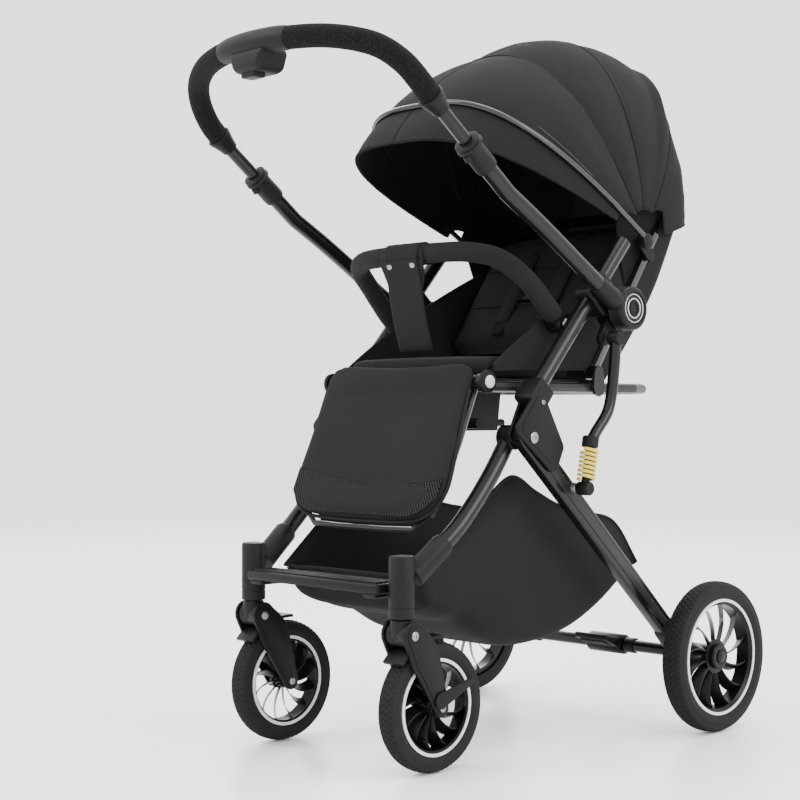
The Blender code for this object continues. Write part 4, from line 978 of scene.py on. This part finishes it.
def handle():
    for side, name in SIDES:
        x = side * HANDLE_X
        straight = along(HANDLE_FLANGE, HANDLE_ANGLE, -0.100)
        path = [at(x, 0.060, 0.6565), at(x, 0.045, 0.664), at(x, 0.0, 0.6905)]
        path += [at(x, -0.103, 0.7525), at(x, *straight)]
        path = smooth_path(path, 6) + [at(x, *along(HANDLE_FLANGE, HANDLE_ANGLE, -0.01))]
        pipe(f"handle_lower_tube_{name}", path, TUBE_RADIUS, TUBE, "handle",
            stands_for=[f"handle_arm_{name}"], slot="gunmetal_tube")
        axis = (0, math.cos(HANDLE_ANGLE), math.sin(HANDLE_ANGLE))
        sleeve = [(0.0120, -0.0520), (0.0152, -0.0500), (0.0162, -0.0440), (0.0160, -0.0120),
            (0.0166, -0.0100), (0.0196, -0.0080), (0.0200, -0.0052), (0.0190, -0.0030),
            (0.0175, -0.0020), (0.0188, -0.0006), (0.0188, 0.0022), (0.0165, 0.0034),
            (0.0102, 0.0036), (0.0102, -0.0100)]
        centre = at(x, *HANDLE_FLANGE)
        turned(f"handle_sleeve_{name}", sleeve, centre, PLASTIC_SATIN, "handle", axis, 64)
        tab = pipe_mesh([centre + Vector((0, 0, -0.0185)), centre + Vector((0, 0.004, -0.0255))],
            0.0065, [1, 0.8], sides=8)
        piece(tab, f"handle_sleeve_tab_{name}", PLASTIC_SATIN, "handle")
        leg = [at(x, *along(HANDLE_FLANGE, HANDLE_ANGLE, s)) for s in (-0.030, 0.03, 0.078)]
        pipe(f"handle_inner_tube_{name}", leg, 0.0098, TUBE, "handle_top",
            stands_for=[f"handle_leg_{name}"], slot="gunmetal_tube")
        collar = [(0.0099, 0.0610), (0.0122, 0.0612), (0.0130, 0.0640), (0.0140, 0.0700),
            (0.0168, 0.0800), (0.0186, 0.0860), (0.0190, 0.0890), (0.0178, 0.0902),
            (0.0140, 0.0905)]
        turned(f"handle_collar_{name}", collar, centre, PLASTIC, "handle_top", axis, 64)
    loop = loop_path(8)
    radii = [1.0] * len(loop)
    radii[0] = radii[-1] = 0.97
    pipe("handle_foam_sleeve", loop, 0.0160, FOAM, "handle_top", radii=radii, sides=14,
        stands_for=["handle_foam"], slot="grip_foam")
    grip()


def loop_path(steps):
    collar = along(HANDLE_FLANGE, HANDLE_ANGLE, 0.083)
    half = [(HANDLE_X, *collar), (0.2245, -0.345, 0.9235), (0.214, -0.370, 0.9500)]
    half += [(0.187, -0.3945, 0.9725), (0.135, -0.420, 0.9870), (0.070, -0.4375, 0.9930)]
    run = half + [(0, -0.4445, 0.9945)] + [(-a, b, c) for a, b, c in reversed(half)]
    return smooth_path([at(*point) for point in run], steps)


def grip():
    """The hard shell at the handle's middle, and the release tab beneath it."""
    middle = [point for point in loop_path(8) if abs(point.x) < 0.071]
    count = len(middle) - 1
    radii = []
    for index in range(count + 1):
        t = abs(index / count * 2 - 1)
        radii.append(1.0 + 0.10 * (1 - t**6) - 0.04 * (t**12))
    bm = pipe_mesh(middle, 0.0163, radii, sides=14)
    low = at(-0.0360, -0.4600, 0.9530)
    high = at(0.0360, -0.4100, 0.9860)
    pod = block_mesh(low, high, 0.010, 6)
    for vert in pod.verts:
        t = (vert.co.z - low.z) / (high.z - low.z)
        vert.co.x *= 0.62 + 0.50 * t**0.6
    merge(bm, pod)
    piece(bm, "handle_centre_shell", PLASTIC_SATIN, "handle_top", ["handle_grip"],
        "black_plastic")
    tab = block_mesh(at(-0.0150, -0.4545, 0.9468), at(0.0150, -0.4335, 0.9600), 0.0030, 4)
    piece(tab, "handle_release_tab", PLASTIC, "handle_button", ["handle_button"], "grey_plastic")


# ---------------------------------------------------------------- canopy


def crown(degrees, step):
    """The canopy's reach from its pivot at an angle, on the middle of the stroller."""
    radius = CANOPY_RADIUS + step
    if degrees > 120.0:
        radius += 0.042 * ((degrees - 120.0) / 30.0) ** 1.3
    if degrees < 72.0:
        radius = min(radius, 0.1642 / math.cos(math.radians(degrees - 7.55)))
    return radius


def fullness(degrees):
    """How square the canopy's cross section is: rounder over the top, boxy in front and behind."""
    if degrees > 120.0:
        return 2.35 + 0.9 * min(1.0, (degrees - 120.0) / 30.0)
    if degrees < 72.0:
        return 2.35 + 2.2 * min(1.0, (72.0 - degrees) / 25.0)
    return 2.35


def canopy_place(degrees, share, number, out=0.0):
    """A point on the canopy, out beyond its cloth: share runs from -1 to 1 over the top."""
    theta = math.radians(degrees)
    step = number * 0.0035 + out
    rise = min(1.0, (1.0 - abs(share)) / 0.94)
    tilt = math.pi / 2 * rise
    power = 2.0 / fullness(degrees)
    x = (0.173 + step) * math.cos(tilt) ** power
    reach = max(crown(degrees, step) * math.sin(tilt) ** power, 0.050)
    return at(math.copysign(x, share), CANOPY_PIVOT[0] + reach * math.cos(theta),
        CANOPY_PIVOT[1] + reach * math.sin(theta))


def canopy_band(name, body, number, low, high, seams, stands_for, edge=0.045):
    """One panel of the canopy, full between its seams, with a dark lining inside."""

    def pillow(degrees, share):
        stops = [low, *seams, high]
        full = 0.0
        for first, second in zip(stops, stops[1:]):
            if first <= degrees <= second:
                t = (degrees - first) / (second - first)
                full = math.sin(math.pi * t) ** 0.8 * min(1.0, (second - first) / 22.0)
        side = min(1.0, (1.0 - abs(share)) / 0.25)
        ripple = noise.noise(Vector((degrees * 0.055, share * 3.1, number + 0.3)))
        ripple += 0.5 * noise.noise(Vector((degrees * 0.16, share * 8.0, number + 7.0)))
        return 0.0042 * full * side + 0.0016 * ripple * side - 0.0004

    def shape(u, v):
        share = (1 - edge) * (2 * u - 1)
        degrees = low + (high - low) * v
        return canopy_place(degrees, share, number, pillow(degrees, share))

    columns = 120
    rows = max(18, int((high - low) * 0.9))
    shell = piece(sheet_mesh(shape, columns, rows), name, CANOPY, body, stands_for,
        "canopy_fabric", 0)
    declare_sheet(shell, 0.0014, (cloth_run(shape, 0, columns), cloth_run(shape, 1, rows)))

    def within(u, v):
        share = (1 - edge - 0.004) * (2 * u - 1)
        degrees = low + (high - low) * (0.006 + 0.988 * v)
        return canopy_place(degrees, share, number, min(0.0, pillow(degrees, share)) - 0.0024)

    lining = piece(sheet_mesh(within, 80, rows), name + "_lining", LINING, body, angle=0)
    declare_sheet(lining, 0.0008, (cloth_run(within, 0, 80), cloth_run(within, 1, rows)))


def cloth_run(shape, way, count):
    """The longest run of a surface across one of its two directions."""
    longest = 0.0
    for other in range(9):
        run = 0.0
        for step in range(count):
            first = (step / count, other / 8)
            second = ((step + 1) / count, other / 8)
            if way:
                first = first[::-1]
                second = second[::-1]
            run += (shape(*second) - shape(*first)).length
        longest = max(longest, run)
    return longest


def cloth_area(mesh):
    return sum(face.area for face in mesh.polygons)


def canopy_line(name, degrees, number, out, radius, material, body, edge=0.05, sides=4):
    """A cord of piping, or a tube, across the canopy at one angle."""
    count = 90
    run = []
    for step in range(count + 1):
        share = (1 - edge) * (2 * step / count - 1)
        run.append(canopy_place(degrees, share, number, out))
    return pipe(name, run, radius, material, body, sides=sides)


def canopy():
    canopy_band("canopy_rear_panel", "back", 0, 16.0, 96.5, [62.0], ["canopy_rear"])
    canopy_band("canopy_middle_panel", "canopy_middle", 1, 93.8, 122.5, [], ["canopy_middle"])
    canopy_band("canopy_front_panel", "canopy_front", 2, 120.5, 150.0, [], ["canopy_front"])
    canopy_band("canopy_visor", "canopy_front", 2, 150.0, 161.0, [], ["canopy_front"])
    for name, degrees, number, body in (("canopy_welt_rear", 62.0, 0, "back"),
        ("canopy_welt_middle", 95.2, 1, "canopy_middle"),
        ("canopy_welt_front", 121.2, 2, "canopy_front")):
        canopy_line(name, degrees, number, 0.0006, 0.0015, CANOPY, body)
    canopy_line("canopy_visor_hem", 160.6, 2, 0.0002, 0.0017, CANOPY, "canopy_front")
    canopy_line("canopy_rear_hem", 16.6, 0, 0.0, 0.0017, CANOPY, "back")
    canopy_line("canopy_front_piping", 146.2, 2, 0.0010, 0.0011, PIPING, "canopy_front", 0.16)
    count = 90
    run = [at(-0.1815, CANOPY_PIVOT[0] - 0.014, CANOPY_PIVOT[1] + 0.008)]
    for step in range(count + 1):
        share = 0.93 * (2 * step / count - 1)
        run.append(canopy_place(150.0, share, 2, 0.0036))
    run.append(at(0.1815, CANOPY_PIVOT[0] - 0.014, CANOPY_PIVOT[1] + 0.008))
    pipe("canopy_hoop", run, 0.0047, BOW, "canopy_front", stands_for=["canopy_bow"],
        slot="gunmetal_tube", sides=8)
    for side, name in SIDES:
        for x, body, label in ((0.1800, "canopy_front", "front"),
            (0.1762, "canopy_middle", "middle")):
            boss = [(0.0, -0.0012), (0.0115, -0.0012), (0.0120, -0.0004), (0.0120, 0.0010)]
            boss += [(0.0104, 0.0022), (0.0052, 0.0024), (0.0, 0.0024)]
            shape = facing(boss, side)
            turned(f"canopy_boss_{label}_{name}", shape, at(side * x, *CANOPY_PIVOT), PLASTIC,
                body)


# ---------------------------------------------------------------- padding


def stuffed(name, mesh, material, body, stands_for, cap, seams=()):
    """Blows a closed cover up a little against its own seams, as wadding does."""
    obj = bpy.data.objects.new(name, mesh)
    scene = bpy.context.scene
    scene.collection.objects.link(obj)
    mesh.name = name
    remesh = obj.modifiers.new("even", "REMESH")
    remesh.mode = "VOXEL"
    remesh.voxel_size = 0.0055
    settle(obj)
    start = [vert.co.copy() for vert in obj.data.vertices]
    cover = obj.modifiers.new("cover", "CLOTH")
    for setting, value in (("quality", 4), ("mass", 0.25), ("tension_stiffness", 26),
        ("compression_stiffness", 26), ("shear_stiffness", 8), ("bending_stiffness", 0.6),
        ("use_pressure", True), ("uniform_pressure_force", 3.2)):
        setattr(cover.settings, setting, value)
    cover.settings.effector_weights.gravity = 0.0
    cover.collision_settings.use_collision = False
    pins = obj.vertex_groups.new(name="sewn")
    held = [index for index, place in enumerate(start) if any(s(place) for s in seams)]
    pins.add(held, 1.0, "REPLACE")
    cover.settings.vertex_group_mass = "sewn"
    for number in range(1, 13):
        scene.frame_set(number)
    settle(obj)
    scene.frame_set(1)
    for vert, place in zip(obj.data.vertices, start):
        moved = vert.co - place
        if moved.length > cap:
            vert.co = place + moved.normalized() * cap
    obj.vertex_groups.clear()
    smooth = obj.modifiers.new("soften", "CORRECTIVE_SMOOTH")
    smooth.iterations = 6
    smooth.use_only_smooth = True
    settle(obj)
    subdivided(obj)
    settle(obj)
    obj.data.materials.clear()
    obj.data.materials.append(material)
    obj.data.shade_smooth()
    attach(obj, body)
    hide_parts(*stands_for)
    return obj


def settle(obj):
    """Applies the modifiers to the object's mesh."""
    bpy.context.view_layer.update()
    graph = bpy.context.evaluated_depsgraph_get()
    mesh = bpy.data.meshes.new_from_object(obj.evaluated_get(graph))
    old = obj.data
    obj.modifiers.clear()
    obj.data = mesh
    name = old.name
    bpy.data.meshes.remove(old)
    mesh.name = name


def pad_mesh(outline, thickness, place, bevel=0.006):
    """A flat pad of the outline, in the plane place(across, along, out), with round edges."""
    bm = bmesh.new()
    face = bm.faces.new([bm.verts.new((a, b, -thickness / 2)) for a, b in outline])
    made = bmesh.ops.extrude_face_region(bm, geom=[face])
    moved = [item for item in made["geom"] if isinstance(item, bmesh.types.BMVert)]
    bmesh.ops.translate(bm, vec=(0, 0, thickness), verts=moved)
    rims = [edge for edge in bm.edges if abs(edge.verts[0].co.z - edge.verts[1].co.z) < 1e-7]
    bmesh.ops.bevel(bm, geom=rims, offset=bevel, segments=3, profile=0.5, affect="EDGES",
        material=-1)
    for vert in bm.verts:
        vert.co = place(*vert.co)
    bmesh.ops.recalc_face_normals(bm, faces=bm.faces)
    mesh = bpy.data.meshes.new("pad")
    bm.to_mesh(mesh)
    bm.free()
    return mesh


def on_back(out_x, run, out):
    """A place on the reclining back: across it, up along it, and out in front of its tubes."""
    return at(out_x, *along(BACK_PIVOT, BACK_TILT, run, -out))


def on_footrest(out_x, run, out):
    """A place on the footrest: across it, down along it, and out in front of its hoop."""
    return at(out_x, *along(FOOTREST_PIVOT, FOOTREST_HANG, run, out))


def footrest_lay(out_x, run, out):
    """A place in the footrest's quilt, which stands off its hoop and its hinges."""
    lift = 0.0165 if run < 0.03 else 0.0165 - 0.006 * min(1.0, (run - 0.03) / 0.09)
    return on_footrest(out_x, run, lift + out)


def wave(out_x):
    return 0.156 + 0.0115 * math.sin((out_x + 0.085) / 0.075)


def padding():
    outline = [(0.126, -0.022), (0.142, -0.018), (0.1495, -0.006), (0.1510, 0.020)]
    outline += [(0.1545, 0.090), (0.1590, 0.150), (0.1580, 0.174), (0.149, 0.195), (0.131, 0.211)]
    outline += [(0.104, 0.219), (0.050, 0.222)]
    outline += [(-a, b) for a, b in reversed(outline)]
    pad = stuffed("footrest_quilt", pad_mesh(outline, 0.0170, footrest_lay, 0.007), SEAT,
        "footrest", ["footrest_pad"], 0.0045, seams=[footrest_seam])
    path = [footrest_lay(x * 0.995, run - 0.001, 0.0) for x, run in outline[3:-3]]
    pipe("footrest_welt", smooth_path(path, 6), 0.0026, WELT, "footrest", sides=5)
    line = [i / 60 * 0.306 - 0.153 for i in range(61)]
    seam = [footrest_lay(x, wave(x), 0.0092) for x in line]
    pipe("footrest_wave_seam", seam, 0.0008, WELT, "footrest", sides=4)

    def mesh_panel(u, v):
        x = 0.1520 * (2 * u - 1)
        top = wave(x) + 0.0015
        bottom = 0.215
        limit = max(0.0, (abs(x) - 0.095) / 0.0625)
        bottom -= 0.040 * min(1.0, limit) ** 2.2
        bottom = max(bottom, top + 0.001)
        run = top + (bottom - top) * v
        return footrest_lay(x, run, 0.0094)

    panel = piece(sheet_mesh(mesh_panel, 60, 16), "footrest_knit", KNIT, "footrest", angle=0)
    declare_sheet(panel, 0.0012, (0.285, 0.062))

    outline = [(0.1445, -0.004), (0.1445, 0.095), (0.140, 0.187), (0.110, 0.198)]
    outline += [(-a, b) for a, b in reversed(outline)]
    stuffed("seat_quilt", pad_mesh(outline, 0.031, lambda a, b, c: at(a, b - 0.129, c + 0.5562),
        0.009), SEAT, "frame", ["seat_cushion"], 0.005, seams=[seat_seam])

    outline = [(0.144, 0.040), (0.146, 0.120), (0.1455, 0.245), (0.130, 0.264), (0.090, 0.268)]
    outline += [(-a, b) for a, b in reversed(outline)]
    stuffed("back_quilt", pad_mesh(outline, 0.040, lambda a, b, c: on_back(a, b, c + 0.0105),
        0.011), SEAT, "back", ["back_cushion"], 0.006, seams=[back_seam])
    for run in (0.115, 0.190):
        line = [on_back(x, run, 0.0332) for x in [i / 40 * 0.26 - 0.13 for i in range(41)]]
        pipe(f"back_seam_{int(run * 1000)}", line, 0.0009, SEAT, "back", sides=4)
    harness()


def footrest_seam(place):
    y = place.y - ORIGIN_Y - FOOTREST_PIVOT[0]
    z = place.z - FOOTREST_PIVOT[1]
    run = y * math.cos(FOOTREST_HANG) + z * math.sin(FOOTREST_HANG)
    return abs(run - wave(place.x)) < 0.0045 or abs(run - 0.030) < 0.003


def seat_seam(place):
    y = place.y - ORIGIN_Y
    return abs(y + 0.045) < 0.003 or abs(abs(place.x) - 0.105) < 0.003


def back_seam(place):
    y = place.y - ORIGIN_Y - BACK_PIVOT[0]
    z = place.z - BACK_PIVOT[1]
    run = y * math.cos(BACK_TILT) + z * math.sin(BACK_TILT)
    return abs(run - 0.115) < 0.003 or abs(run - 0.190) < 0.003


def harness():
    """Two shoulder pads with webbing through them, and a chest clip between."""
    for side, name in SIDES:
        outline = [(side * 0.026, 0.075), (side * 0.060, 0.075), (side * 0.062, 0.150)]
        outline += [(side * 0.060, 0.226), (side * 0.026, 0.226), (side * 0.0245, 0.150)]
        if side < 0:
            outline.reverse()
        stuffed(f"shoulder_pad_{name}", pad_mesh(outline, 0.0075, lambda a, b,
            c: on_back(a, b, c + 0.0365), 0.003), SEAT, "back", ["harness"],
            0.0015)
        for index, (low, high) in enumerate(((0.055, 0.078), (0.222, 0.256))):

            def strap(u, v, low=low, high=high, side=side):
                run = low + (high - low) * v
                return on_back(side * 0.043 + 0.0115 * (2 * u - 1), run, 0.0352)

            web = piece(sheet_mesh(strap, 6, 12), f"shoulder_web_{index}_{name}", WEBBING, "back")
            solid(web, 0.0013)
    bm = block_mesh((-0.014, -0.010, -0.0028), (0.014, 0.010, 0.0028), 0.0018, 3)
    for vert in bm.verts:
        vert.co = on_back(vert.co.x, 0.130 + vert.co.y, 0.0385 + vert.co.z)
    piece(bm, "chest_clip", PLASTIC, "back")
    for side, name in SIDES:

        def strap(u, v, side=side):
            return on_back(side * (0.012 + 0.018 * v), 0.1225 + 0.015 * u, 0.0372)

        web = piece(sheet_mesh(strap, 6, 6), f"chest_web_{name}", WEBBING, "back")
        solid(web, 0.0012)


# ---------------------------------------------------------------- side cloth and back shell


def bezier(a, b, c, t):
    return a * (1 - t) ** 2 + b * 2 * t * (1 - t) + c * t * t


def seat_cloth():
    """The side panels that join the seat to the back, and the boxy shell behind the back."""
    for side, name in SIDES:

        def wall(u, v, side=side):
            low = Vector((-0.128 + 0.222 * u, 0.5500 + 0.004 * u))
            high = bezier(Vector((-0.128, 0.5580)), Vector((0.000, 0.6500)),
                Vector((0.222, 0.7420)), u)
            place = low.lerp(high, v)
            near = ((place.x - BUMPER_PIVOT[0]) ** 2 + (place.y - BUMPER_PIVOT[1]) ** 2) / 0.028**2
            return at(side * (0.1535 - 0.0055 * math.exp(-near)), place.x, place.y)

        cloth = piece(sheet_mesh(wall, 50, 24), f"side_panel_{name}", SEAT, None,
            [f"side_wing_{name}"], "seat_fabric", 0)
        solid(cloth, 0.0022)
        at(0, 0.020, 0.570)
        at(0, 0.170, 0.660)
        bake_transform(cloth)
        cloth_run(wall, 0, 50)
        cloth_area(cloth.data)
        hem = [wall(i / 40, 1.0) for i in range(41)]
        line = pipe(f"side_hem_{name}", hem, 0.0020, SEAT, None, sides=4)
        at(0, 0.020, 0.570)
        at(0, 0.170, 0.660)
        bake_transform(line)

        def wing(u, v, side=side):
            turn = math.radians(157.0 - 125.0 * u)
            rim = Vector(CANOPY_PIVOT) + 0.066 * Vector((math.cos(turn), math.sin(turn)))
            tube = Vector(along(BACK_PIVOT, BACK_TILT, 0.150 + 0.165 * u))
            place = tube.lerp(rim, v)
            return at(side * (0.1530 + 0.0110 * v), place.x, place.y)

        fill = piece(sheet_mesh(wing, 24, 14), f"back_wing_{name}", LINING, "back", angle=0)
        declare_sheet(fill, 0.0014, (cloth_run(wing, 0, 24), cloth_run(wing, 1, 14)))

    def shell(u, v):
        """Round the back from one side to the other: side wall, corner, rear panel."""
        run = 0.012 + 0.318 * v
        half = 0.1505 + 0.010 * min(1.0, v * 1.6)
        depth = 0.042 + 0.016 * math.sin(math.pi * min(1.0, v * 0.9 + 0.1))
        flat = half - SHELL_CORNER
        total = depth * 2 + 2 * flat + math.pi * SHELL_CORNER
        s = u * total
        if s < depth - SHELL_CORNER:
            return on_back(-half, run, -s)
        corner = depth - SHELL_CORNER
        if s < corner + math.pi / 2 * SHELL_CORNER:
            t = (s - corner) / SHELL_CORNER
            return on_back(-half + SHELL_CORNER * (1 - math.cos(t)), run,
                -corner - SHELL_CORNER * math.sin(t))
        s -= corner + math.pi / 2 * SHELL_CORNER
        width = 2 * flat
        span = total - 2 * (corner + math.pi / 2 * SHELL_CORNER)
        if s < span:
            t = s / span
            sag = 0.006 * math.sin(math.pi * t) * math.sin(math.pi * v)
            return on_back(-flat + width * t, run, -depth - sag)
        s -= span
        if s < math.pi / 2 * SHELL_CORNER:
            t = s / SHELL_CORNER
            return on_back(half - SHELL_CORNER * (1 - math.sin(t)), run,
                -corner - SHELL_CORNER * math.cos(t))
        s -= math.pi / 2 * SHELL_CORNER
        return on_back(half, run, -corner + s)

    cover = piece(sheet_mesh(shell, 110, 44), "back_shell", CANOPY, "back", angle=0)
    declare_sheet(cover, 0.0018, (cloth_run(shell, 0, 110), cloth_run(shell, 1, 44)))
    for v in (0.0, 1.0):
        hem = [shell(i / 80, v) for i in range(81)]
        pipe(f"back_shell_hem_{int(v)}", hem, 0.0018, CANOPY, "back", sides=4)


# ---------------------------------------------------------------- bumper bar and crotch strap


def bumper():
    run = [(0.1685, -0.014, 0.634), (0.1685, -0.030, 0.648), (0.163, -0.068, 0.684)]
    run += [(0.147, -0.108, 0.712), (0.110, -0.134, 0.7225), (0.050, -0.146, 0.7245)]
    run += [(-a, b, c) for a, b, c in reversed(run)]
    path = smooth_path([at(*point) for point in run], 10)
    pipe("bumper_sleeve", path, 0.0148, SEAT, "bumper_bar", sides=12, stands_for=["bumper_bar"],
        slot="grip_foam")
    for side, name in SIDES:
        cup = pipe_mesh([at(side * BUMPER_X, -0.004, 0.6262), at(side * BUMPER_X, -0.010, 0.6312),
            at(side * BUMPER_X, -0.0185, 0.6382)], 0.0145, [0.94, 1.0, 0.97], sides=10)
        disc = [(0.0, -0.0145), (0.0138, -0.0145), (0.0150, -0.0130), (0.0150, 0.0115)]
        disc += [(0.0140, 0.0130), (0.0098, 0.0131), (0.0092, 0.0118), (0.0, 0.0118)]
        shape = facing(disc, side)
        merge(cup, turned_mesh(shape, at(side * BUMPER_X, *BUMPER_PIVOT)))
        piece(cup, f"bumper_joint_{name}", PLASTIC, "bumper_bar", slot="black_plastic")
        cap = [(0.0, -0.0010), (0.0066, -0.0010), (0.0066, 0.0012), (0.0056, 0.0022),
            (0.0, 0.0026)]
        shape = facing(cap, side)
        place = at(side * 0.1800, *BUMPER_PIVOT)
        turned(f"bumper_rivet_{name}", shape, place, WHITE, "bumper_bar", steps=48)
        body = f"bumper_button_{name}"
        button = [(0.0, 0.0), (0.0054, 0.0), (0.0058, 0.0006), (0.0058, 0.0130), (0.0, 0.0130)]
        shape = facing(button, side)
        place = at(side * 0.1506, *BUMPER_PIVOT)
        turned(f"bumper_push_{name}", shape, place, WHITE, body, steps=40, stands_for=[body],
            slot="grey_plastic")
    wrap = []
    for step in range(19):
        turn = math.radians(-60 + 270 * step / 18)
        wrap.append((-0.1472 + 0.0168 * math.cos(turn), 0.7240 + 0.0168 * math.sin(turn)))
    tail = [(-0.1560, 0.690), (-0.1500, 0.655), (-0.1410, 0.618), (-0.1290, 0.582)]
    profile = wrap + [(-0.1634, 0.7110)] + tail
    profile = [Vector((0, *point)) for point in profile]
    profile = smooth_path(profile, 4)
    count = len(profile) - 1

    def strap(u, v):
        place = profile[round(v * count)]
        wide = 0.0385 - 0.0040 * v
        return at(wide * (2 * u - 1), place.y, place.z)

    tab = piece(sheet_mesh(strap, 14, count), "crotch_strap_cloth", SEAT, None, ["crotch_strap"],
        "seat_fabric", 0)
    solid(tab, 0.0024)
    at(0, -0.132, 0.590)
    at(0, -0.156, 0.700)
    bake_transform(tab)
    cloth_run(strap, 1, count)
    cloth_area(tab.data)
    last = next(i for i, place in enumerate(profile) if i > count * 0.5 and place.z < 0.670)

    def tab_shape(u, v):
        index = v * last
        low = min(int(index), last - 1)
        place = profile[low].lerp(profile[low + 1], index - low)
        ahead = (profile[low + 1] - profile[low]).normalized()
        corner = max(0.0, (v - 0.90) / 0.10)
        wide = 0.0450 - 0.0200 * (1 - math.sqrt(max(0.0, 1 - corner * corner)))
        out = Vector((0, -ahead.z, ahead.y)) * -0.0022
        return at(wide * (2 * u - 1), place.y, place.z) - out * (1 if v > 0.02 else 0)

    flap = piece(sheet_mesh(tab_shape, 16, 90), "crotch_tab", SEAT, "bumper_bar", angle=0)
    declare_sheet(flap, 0.0018, (0.090, cloth_run(tab_shape, 1, 90)))
    for x, name in ((-0.0240, "right"), (0.0240, "left")):
        snap = [(0.0, -0.002), (0.0058, -0.002), (0.0058, 0.0008), (0.0044, 0.0018),
            (0.0, 0.0020)]
        place = tab_shape(0.5, 0.925) + Vector((x, -0.0020, 0.0))
        turned(f"crotch_snap_{name}", snap, place, STEEL, "bumper_bar", (0, -1, -0.10), 32)


# ---------------------------------------------------------------- basket


def basket():
    """An open bag that hangs between the legs: high pointed sides, and a belly that sags."""
    floor = [(-0.262, 0.262), (-0.252, 0.224), (-0.210, 0.207), (-0.165, 0.196)]
    floor += [(-0.110, 0.168), (-0.045, 0.150), (0.050, 0.156), (0.130, 0.190), (0.210, 0.252)]
    rim = [(-0.262, 0.262), (-0.205, 0.312), (-0.150, 0.354), (-0.085, 0.398)]
    rim += [(-0.030, 0.374), (0.020, 0.352), (0.090, 0.338), (0.155, 0.320), (0.210, 0.256)]
    floor = smooth_path([(0, *point) for point in floor], 8)
    rim = smooth_path([(0, *point) for point in rim], 8)
    count = len(floor) - 1

    def pick(path, t):
        place = t * (len(path) - 1)
        index = min(int(place), len(path) - 2)
        return path[index].lerp(path[index + 1], place - index)

    def bag(u, v):
        """v runs from front to back; u goes down one side, across the belly and up the other."""
        low = pick(floor, v)
        high = pick(rim, v)
        angle = math.pi * (1 - u)
        side = math.cos(angle)
        power = 0.26
        x = math.copysign(abs(side) ** power, side) * 0.1475
        depth = abs(math.sin(angle)) ** power
        sag = 0.006 * math.sin(math.pi * u) * math.sin(math.pi * v)
        fold = noise.noise(Vector((u * 7.0, v * 6.0, 2.0))) * 0.0022
        place = high.lerp(low, depth)
        inward = 1.0 - 0.030 * math.sin(math.pi * min(1.0, depth)) - fold * 2
        return at(x * inward, place.y, place.z - sag + fold)

    cloth = piece(sheet_mesh(bag, 90, 80), "basket_cloth", SEAT, None, ["basket"],
        "basket_fabric", 0)
    solid(cloth, 0.0018)
    start = at(0, 0.060, 0.300)
    end = at(0, -0.200, 0.300)
    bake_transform(cloth)
    cloth_run(bag, 0, 90)
    cloth_run(bag, 1, 80)
    cloth_area(cloth.data)
    for u, name in ((0.0, "right"), (1.0, "left")):
        hem = [bag(u, i / 80) for i in range(81)]
        line = pipe(f"basket_binding_{name}", hem, 0.0024, SEAT, None, sides=4)
        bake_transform(line)
    for v, name in ((0.0, "front"), (1.0, "rear")):
        hem = [bag(i / 80, v) for i in range(81)]
        line = pipe(f"basket_edge_{name}", hem, 0.0022, SEAT, None, sides=4)
        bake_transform(line)

    def band(u, v):
        place = bag(0.06 + 0.88 * u, 0.012 + 0.16 * v)
        return place + Vector((0, -0.0022, -0.0016))

    front = piece(sheet_mesh(band, 50, 16), "basket_front_band", SEAT, None, angle=0)
    solid(front, 0.0014)
    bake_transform(front)
    cloth_run(band, 0, 50)
    cloth_run(band, 1, 16)
    cloth_area(front.data)


# ---------------------------------------------------------------- everything


wheels()
front_end()
rear_end()
main_frame()
handle()
canopy()
padding()
seat_cloth()
bumper()
basket()

# The grey seat rail, the board, the pull handle and the hinges keep their own meshes.
for node, finish in (("seat_rail", GREY_TUBE), ("seat_board", PLASTIC), ("pull_handle", PLASTIC),
    ("back_frame", TUBE), ("footrest_frame", GREY_TUBE), ("canopy_mount_left", PLASTIC),
    ("canopy_mount_right", PLASTIC)):
    NODES[node].data.materials.clear()
    NODES[node].data.materials.append(finish)
